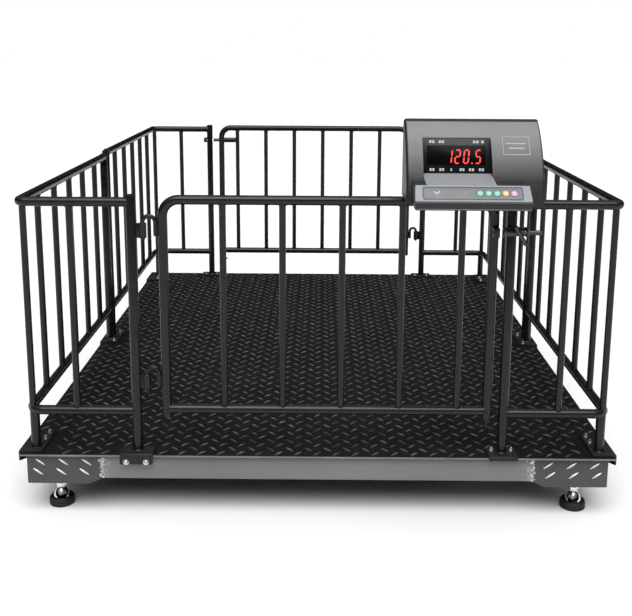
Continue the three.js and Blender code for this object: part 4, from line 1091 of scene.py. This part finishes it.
def build_display():
    """The smoked window, its black field, the lit digits of the reading and plain printed marks."""
    window = Piece().slab(2 * DISPLAY_HALF - 1 * MM, 64 * MM, 0.3 * MM, 2.2 * MM, DISPLAY, corner=2 * MM,
                          edge=0.5 * MM)
    window.make("display_window_lens", WINDOW, "display_window", ["display_window"])
    field = Piece().slab(107 * MM, 36.6 * MM, 2.0 * MM, 2.35 * MM, DISPLAY, -1.2 * MM, 0.2 * MM, MM, 0.1 * MM)
    field.make("display_field", LED_FIELD, "display_window")

    digits = Piece()
    high, wide, half, slant, gap = 24.4 * MM, 8.4 * MM, 1.3 * MM, 0.12, 0.5 * MM
    low, face_n = -14.9 * MM, 2.35 * MM
    rows = {"a": high, "g": high / 2, "d": 0}
    ends = {name: ((gap, v), (wide - gap, v)) for name, v in rows.items()}
    for name, u, v in (("f", 0, high / 2), ("e", 0, 0), ("b", wide, high / 2), ("c", wide, 0)):
        ends[name] = ((u, v + gap), (u, v + high / 2 - gap))
    reading = ((-19.0, "bc"), (-4.0, "abged"), (11.8, "abcdef"), (33.4, "afgcd"))
    for x, lit in reading:
        for name in lit:
            segment(digits, *ends[name], half, slant, Vector((x * MM, low)), face_n)
    digits.turned(mm((0, 0), (1.5, 0), (1.5, 0.25), (0, 0.25)), DISPLAY @ Vector((27.6 * MM, low, face_n)),
                  DISPLAY.to_3x3() @ Z, 20)
    digits.make("display_digits", LED_RED, "display_window", smooth=30)

    marks = Piece()
    labels = ((25.3, ((-50.5, 10.5), (-33.2, 11), (29.5, 11.5), (44.5, 6))),
              (-27.0, ((-50.5, 10), (-32.8, 10), (-12.2, 3.5), (4.2, 10), (21.2, 10.5), (39.2, 10.5))))
    for u, start, width in [(u * MM, *label) for u, row in labels for label in row]:
        blocks = 2 if width > 6 else 1
        share = width * MM / blocks
        for k in range(blocks):
            x = start * MM + share * (k + 0.5)
            for across, tall, v in ((0.8, 1.5, -1.5), (0.8, 1.5, 1.5), (0.32, 4.4, 0)):
                marks.slab(share * across, tall * MM, 2.1 * MM, 2.3 * MM, DISPLAY, x, u + v * MM)
    marks.make("display_marks", PRINT_WHITE, "display_window")


ICON_SLABS = {"zero": (), "tare": ((5.4, 1.3, 1.4), (5.4, 1.3, -1.4)), "total": ((5.2, 1.2, 0), (1.2, 5.2, 0)),
              "print": ((5.6, 2.6, -0.8), (3.2, 1.6, 1.8)), "power": ((0.9, 3, 1.8),)}


def icon(piece, kind, x):
    """A plain mark on a button: a ring, bars, a cross, a sheet, or an open ring with a bar."""
    n0, n1 = 1.42 * MM, 1.6 * MM
    gap = {"zero": 0.0, "power": 0.5}.get(kind)
    if gap is not None:
        turns = [t for t in around(24) if abs(t - math.pi / 2) > gap or gap == 0]
        path = [KEYS @ Vector((x + 2.4 * MM * math.cos(t), 2.4 * MM * math.sin(t), n0)) for t in turns]
        start = next(i for i, t in enumerate(turns) if t > math.pi / 2) if gap else 0
        piece.tube(path[start:] + path[:start], 0.5 * MM, 6, closed=not gap)
    for width, height, u in ICON_SLABS[kind]:
        piece.slab(width * MM, height * MM, n0, n1, KEYS, x, u * MM)


def build_keypad():
    """The membrane with its border and faint fields, the five caps and the mark on each."""
    panel = Piece().slab(KEYPAD_WIDTH, KEYPAD_DEPTH, -0.9 * MM, 0.3 * MM, KEYS, corner=3 * MM, edge=0.2 * MM).loose()
    bore_for_buttons(panel, 36)
    finish_piece(panel, "keypad_membrane", KEYPAD, "keypad_panel", ["keypad_panel"], smooth=30)

    w, h = KEYPAD_WIDTH / 2 - 1.2 * MM, KEYPAD_DEPTH / 2 - 1.2 * MM
    loop = fillet([(-w, -h), (w, -h), (w, h), (-w, h)], 3 * MM, 6)
    border = Piece().tube([KEYS @ Vector((p.x, p.y, 0.35 * MM)) for p in loop], 0.42 * MM, 6, closed=True)
    border.make("keypad_border", PRINT_DARK, "keypad_panel")

    sign, faint = Piece(), Piece()
    for x, turn in ((-65.6 * MM, -0.75), (-60.6 * MM, 0.75)):
        spin = KEYS @ Matrix.Translation((x, 1.2 * MM, 0)) @ Matrix.Rotation(turn, 4, "Z")
        sign.slab(7.5 * MM, 1.3 * MM, 0.25 * MM, 0.5 * MM, spin)
    sign.make("keypad_sign", PRINT_WHITE, "keypad_panel")
    for x, wide in ((-38 * MM, 20 * MM), (-12 * MM, 10 * MM)):
        faint.slab(wide, 8 * MM, 0.25 * MM, 0.42 * MM, KEYS, x, corner=2 * MM)
    faint.make("keypad_faint_fields", FAINT, "keypad_panel")

    profile = mm((0, -4), (6.3, -4), (6.3, 0.5), (6.0, 1.0), (5.3, 1.3), (3.9, 1.4), (0, 1.42))
    for name, x in BUTTON_X.items():
        node, mark = f"button_{name}", Piece()
        cap = Piece().turned(profile, KEYS @ Vector((x, 0, 0)), KEYS.to_3x3() @ Z, 36)
        cap.make(f"{node}_cap", BUTTONS[name], node, [node])
        icon(mark, name, x)
        mark.make(f"{node}_mark", PRINT_WHITE, node)


def build_shelf_front():
    """The parting line across the shelf's front face and the sloping sill below the display."""
    half = SHELF_HALF - WALL
    lip = Piece().block((SHELF_MID - half, CASE_LO.y, BASE_Z + 1.6 * MM),
                        (SHELF_MID + half, CASE_LO.y + 2 * MM, BASE_Z + 3.2 * MM), 0.3 * MM)
    lip.make("shelf_parting_line", KEYPAD, "indicator_case")
    run = (SHELF_REAR - DISPLAY_FOOT).normalized()
    skin = Vector((run.y, -run.x)) * 0.3 * MM
    outline = [DISPLAY_FOOT + run * MM + skin, SHELF_REAR - run * MM + skin,
               SHELF_REAR - Vector((0, 1.5 * MM)), Vector((DISPLAY_FOOT.x, SHELF_REAR.y - 1.5 * MM))]
    half = DISPLAY_HALF - 0.3 * MM
    sill = Piece().prism(outline, extrude_x, (DISPLAY_MID - half, DISPLAY_MID + half), 0.8 * MM)
    sill.make("display_sill", SHELF_GREY, "indicator_case")


def build_back_of_case():
    """The rear cover with its vents, a blank label and six screws."""
    node = "indicator_back_cover"
    lo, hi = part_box(node)
    corners = fillet([(lo.x, lo.z), (hi.x, lo.z), (hi.x, hi.z), (lo.x, hi.z)], [3 * MM, 3 * MM, 6 * MM, 6 * MM], 5)
    cover = Piece().prism(corners, extrude_y, (lo.y, hi.y), 0.8 * MM)
    vent_x = lo.x + 100 * MM
    for z in [lo.z + 26 * MM + k * 7 * MM for k in range(6)]:
        cover.block((vent_x - 34 * MM, hi.y - 0.5 * MM, z), (vent_x + 34 * MM, hi.y + 1.6 * MM, z + 2.6 * MM),
                    0.7 * MM)
    cover.make("indicator_rear_shell", HOUSING, node, [node])
    label = Piece().block((vent_x - 38 * MM, hi.y - 0.3 * MM, hi.z - 52 * MM),
                          (vent_x + 38 * MM, hi.y + 0.6 * MM, hi.z - 16 * MM), 0.3 * MM)
    label.make("rear_blank_label", ALLOY, node, slot="junction_alloy")
    screws = Piece()
    head = mm((0, -0.5), (3.4, -0.5), (3.4, 0.8), (2.6, 1.6), (0, 1.9))
    for x in (lo.x + 9 * MM, hi.x - 9 * MM, (lo.x + hi.x) / 2):
        for z in (lo.z + 8 * MM, hi.z - 9 * MM):
            screws.turned(head, (x, hi.y, z), Y, 20)
    screws.make("rear_screws", ZINC, node, slot="foot_chrome")


def build_gland(node, axis):
    """A ribbed cable gland: hexagon, ribbed cap and a blanked rubber mouth."""
    lo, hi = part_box(node)
    length = (hi - lo).dot(axis)
    base = (lo + hi) / 2 - axis * length / 2
    outer = max(size for size, along in zip(hi - lo, axis) if not along) / 2
    body = outer * 0.76
    gland = Piece().nut(base, axis, outer, 5 * MM)
    for spot in circle(base, *square_to(axis), body, 14):
        gland.rod(spot + axis * 5.5 * MM, spot + axis * (length - 5.5 * MM), 0.9 * MM, 6, edge=0.3 * MM)
    cap = [(0, 4 * MM), (body, 4 * MM), (body, length - 5 * MM), (body * 0.9, length - 2 * MM),
           (body * 0.7, length), (body * 0.45, length), (body * 0.4, length - 1.5 * MM), (0, length - 1.5 * MM)]
    gland.turned(cap, base, axis, 28).make(f"{node}_cap", NYLON, node, [node])


def build_bracket():
    """The indicator's mounting plate with two clamp bands round the latch post."""
    node = "indicator_bracket"
    lo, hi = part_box(node)
    post_x, plate_back = GATE_POST["front_right"], lo.y + 3 * MM
    bracket, bolts = Piece().block(lo, (post_x + 34 * MM, plate_back, hi.z), 0.8 * MM), Piece()
    outer, bore = POST_R + 3 * MM, POST_R + 0.6 * MM
    ring = [(bore, -6 * MM), (outer - 0.6 * MM, -6 * MM), (outer, -5.4 * MM), (outer, 5.4 * MM),
            (outer - 0.6 * MM, 6 * MM), (bore, 6 * MM)]
    for level in (lo.z + 16 * MM, hi.z - 16 * MM):
        bracket.turned(ring, (post_x, FRONT_Y, level), Z, 40)
        for offset in (-21 * MM, 21 * MM):
            bolts.bolt((post_x + offset, plate_back, level), Y, 2.3 * MM)
    bracket.make("indicator_bracket_clamp", TUBE, node, [node])
    bolts.make("indicator_bracket_bolts", ZINC, node, slot="foot_chrome")


def build_junction_box():
    """A die-cast box under the deck with a screwed lid."""
    lo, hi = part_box("junction_box")
    inset = Vector((3, 3, 0)) * MM
    box = Piece().block(lo + inset + Z * 4.5 * MM, hi - inset, 2.5 * MM, 3)
    box.block(lo, (hi.x, hi.y, lo.z + 5 * MM), 1.2 * MM, 3)
    head = mm((0, 0), (3.2, 0), (3.0, 1.0), (0, 1.3))
    for x in (lo.x + 9 * MM, hi.x - 9 * MM):
        for y in (lo.y + 9 * MM, hi.y - 9 * MM):
            box.turned(head, (x, y, lo.z + 0.9 * MM), -Z, 20)
    box.make("junction_box_casting", ALLOY, "junction_box", ["junction_box"])


# ------------------------------------------------------------------ stage, light and camera
def build_stage():
    """A pale floor, a white backdrop for the camera, a dome that lights from above, and two soft suns."""
    mesh = bpy.data.meshes.new("studio_floor")
    reach = 40.0
    mesh.from_pydata([(-reach, -reach, 0), (reach, -reach, 0), (reach, reach, 0), (-reach, reach, 0)], [],
                     [(0, 1, 2, 3)])
    paper = Finish("studio_paper", 0.9, 0.0, 0.0)
    mesh.materials.append(paper.set(paper.mix(paper.noise(2.0), rgb(0.93), rgb(0.95))))
    floor = add_to_scene("studio_floor", mesh)

    world = bpy.data.worlds.new("studio")
    bpy.context.scene.world = world
    world.use_nodes = True
    tree = world.node_tree
    tree.nodes.clear()

    def add(kind, values=()):
        made = tree.nodes.new(f"ShaderNode{kind}")
        for key, value in values:
            made.inputs[key].default_value = value
        return made
    output, dome, chooser = add("OutputWorld"), add("Background"), add("MixShader")
    backdrop = add("Background", (("Color", (1, 1, 1, 1)), ("Strength", 1.0)))
    split = add("SeparateXYZ")
    ramp = add("MapRange", (("From Min", 0.25), ("From Max", 0.85), ("To Min", 0.0), ("To Max", 0.75)))
    for source, target in (
        (add("TexCoord").outputs["Generated"], split.inputs[0]), (split.outputs["Z"], ramp.inputs["Value"]),
        (ramp.outputs[0], dome.inputs["Strength"]),
        (add("LightPath").outputs["Is Camera Ray"], chooser.inputs[0]), (dome.outputs[0], chooser.inputs[1]),
        (backdrop.outputs[0], chooser.inputs[2]), (chooser.outputs[0], output.inputs[0]),
    ):
        tree.links.new(source, target)

    for name, strength, spread, tilt, heading in (("key_light", 2.7, 50, 30, 0), ("fill_light", 0.15, 60, 45, -18)):
        data = bpy.data.lights.new(name, "SUN")
        data.energy, data.angle = strength, math.radians(spread)
        add_to_scene(name, data).rotation_euler = (math.radians(tilt), 0, math.radians(heading))


def build_camera():
    """A long view from in front, above the rails, tipped down a little."""
    yaw, pitch, roll = -0.0048555, 0.1913854, 0.0057678
    eye = Vector((3.25, -2400.3, 946.5)) * MM
    ahead = Vector((math.sin(yaw) * math.cos(pitch), math.cos(yaw) * math.cos(pitch), -math.sin(pitch)))
    right = Vector((math.cos(yaw), -math.sin(yaw), 0))
    up = right.cross(ahead)
    rolled_right = math.cos(roll) * right + math.sin(roll) * up
    rolled_up = -math.sin(roll) * right + math.cos(roll) * up
    data = bpy.data.cameras.new("camera")
    data.lens, data.sensor_width, data.shift_y = 52.37, 36.0, -0.136
    camera = add_to_scene("camera", data)
    turn = Matrix((rolled_right, rolled_up, -ahead)).transposed().to_4x4()
    camera.matrix_world = Matrix.Translation(eye) @ turn
    bpy.context.scene.camera = camera


def dress_carried_nodes():
    """CAD nodes that keep their own shape get their finish here."""
    looks = {"main_board": BOARD, "display_board": BOARD, "battery": BATTERY}
    looks.update({f"load_cell_{name}": CELL for name in CORNERS})
    for node, material in looks.items():
        frame["nodes"][node].material_slots[0].material = material


# ------------------------------------------------------------------ build
build_camera()
build_stage()
dress_carried_nodes()
build_deck()
for beam, runs_along, towards in (
    ("front_beam", 0, 1), ("back_beam", 0, -1), ("front_cross_beam", 0, 1), ("back_cross_beam", 0, 1),
    ("left_beam", 1, 1), ("right_beam", 1, -1),
):
    channel(beam, runs_along, towards)
for corner_name, (corner_side, corner_end) in CORNERS.items():
    corner_box(corner_name, corner_side, corner_end)
    build_foot(corner_name)
    build_panel(corner_name, corner_side, corner_end)
for gate_end in (-1, 1):
    build_gate(gate_end)
    build_hinges(gate_end)
build_front_latch()
build_back_latch()
build_case()
build_nameplate()
build_shelf_front()
build_display()
build_keypad()
build_back_of_case()
build_gland("indicator_gland", Y)
build_gland("junction_box_gland", X)
build_bracket()
build_junction_box()

bpy.context.scene.view_settings.view_transform = "Standard"
bpy.context.view_layer.update()
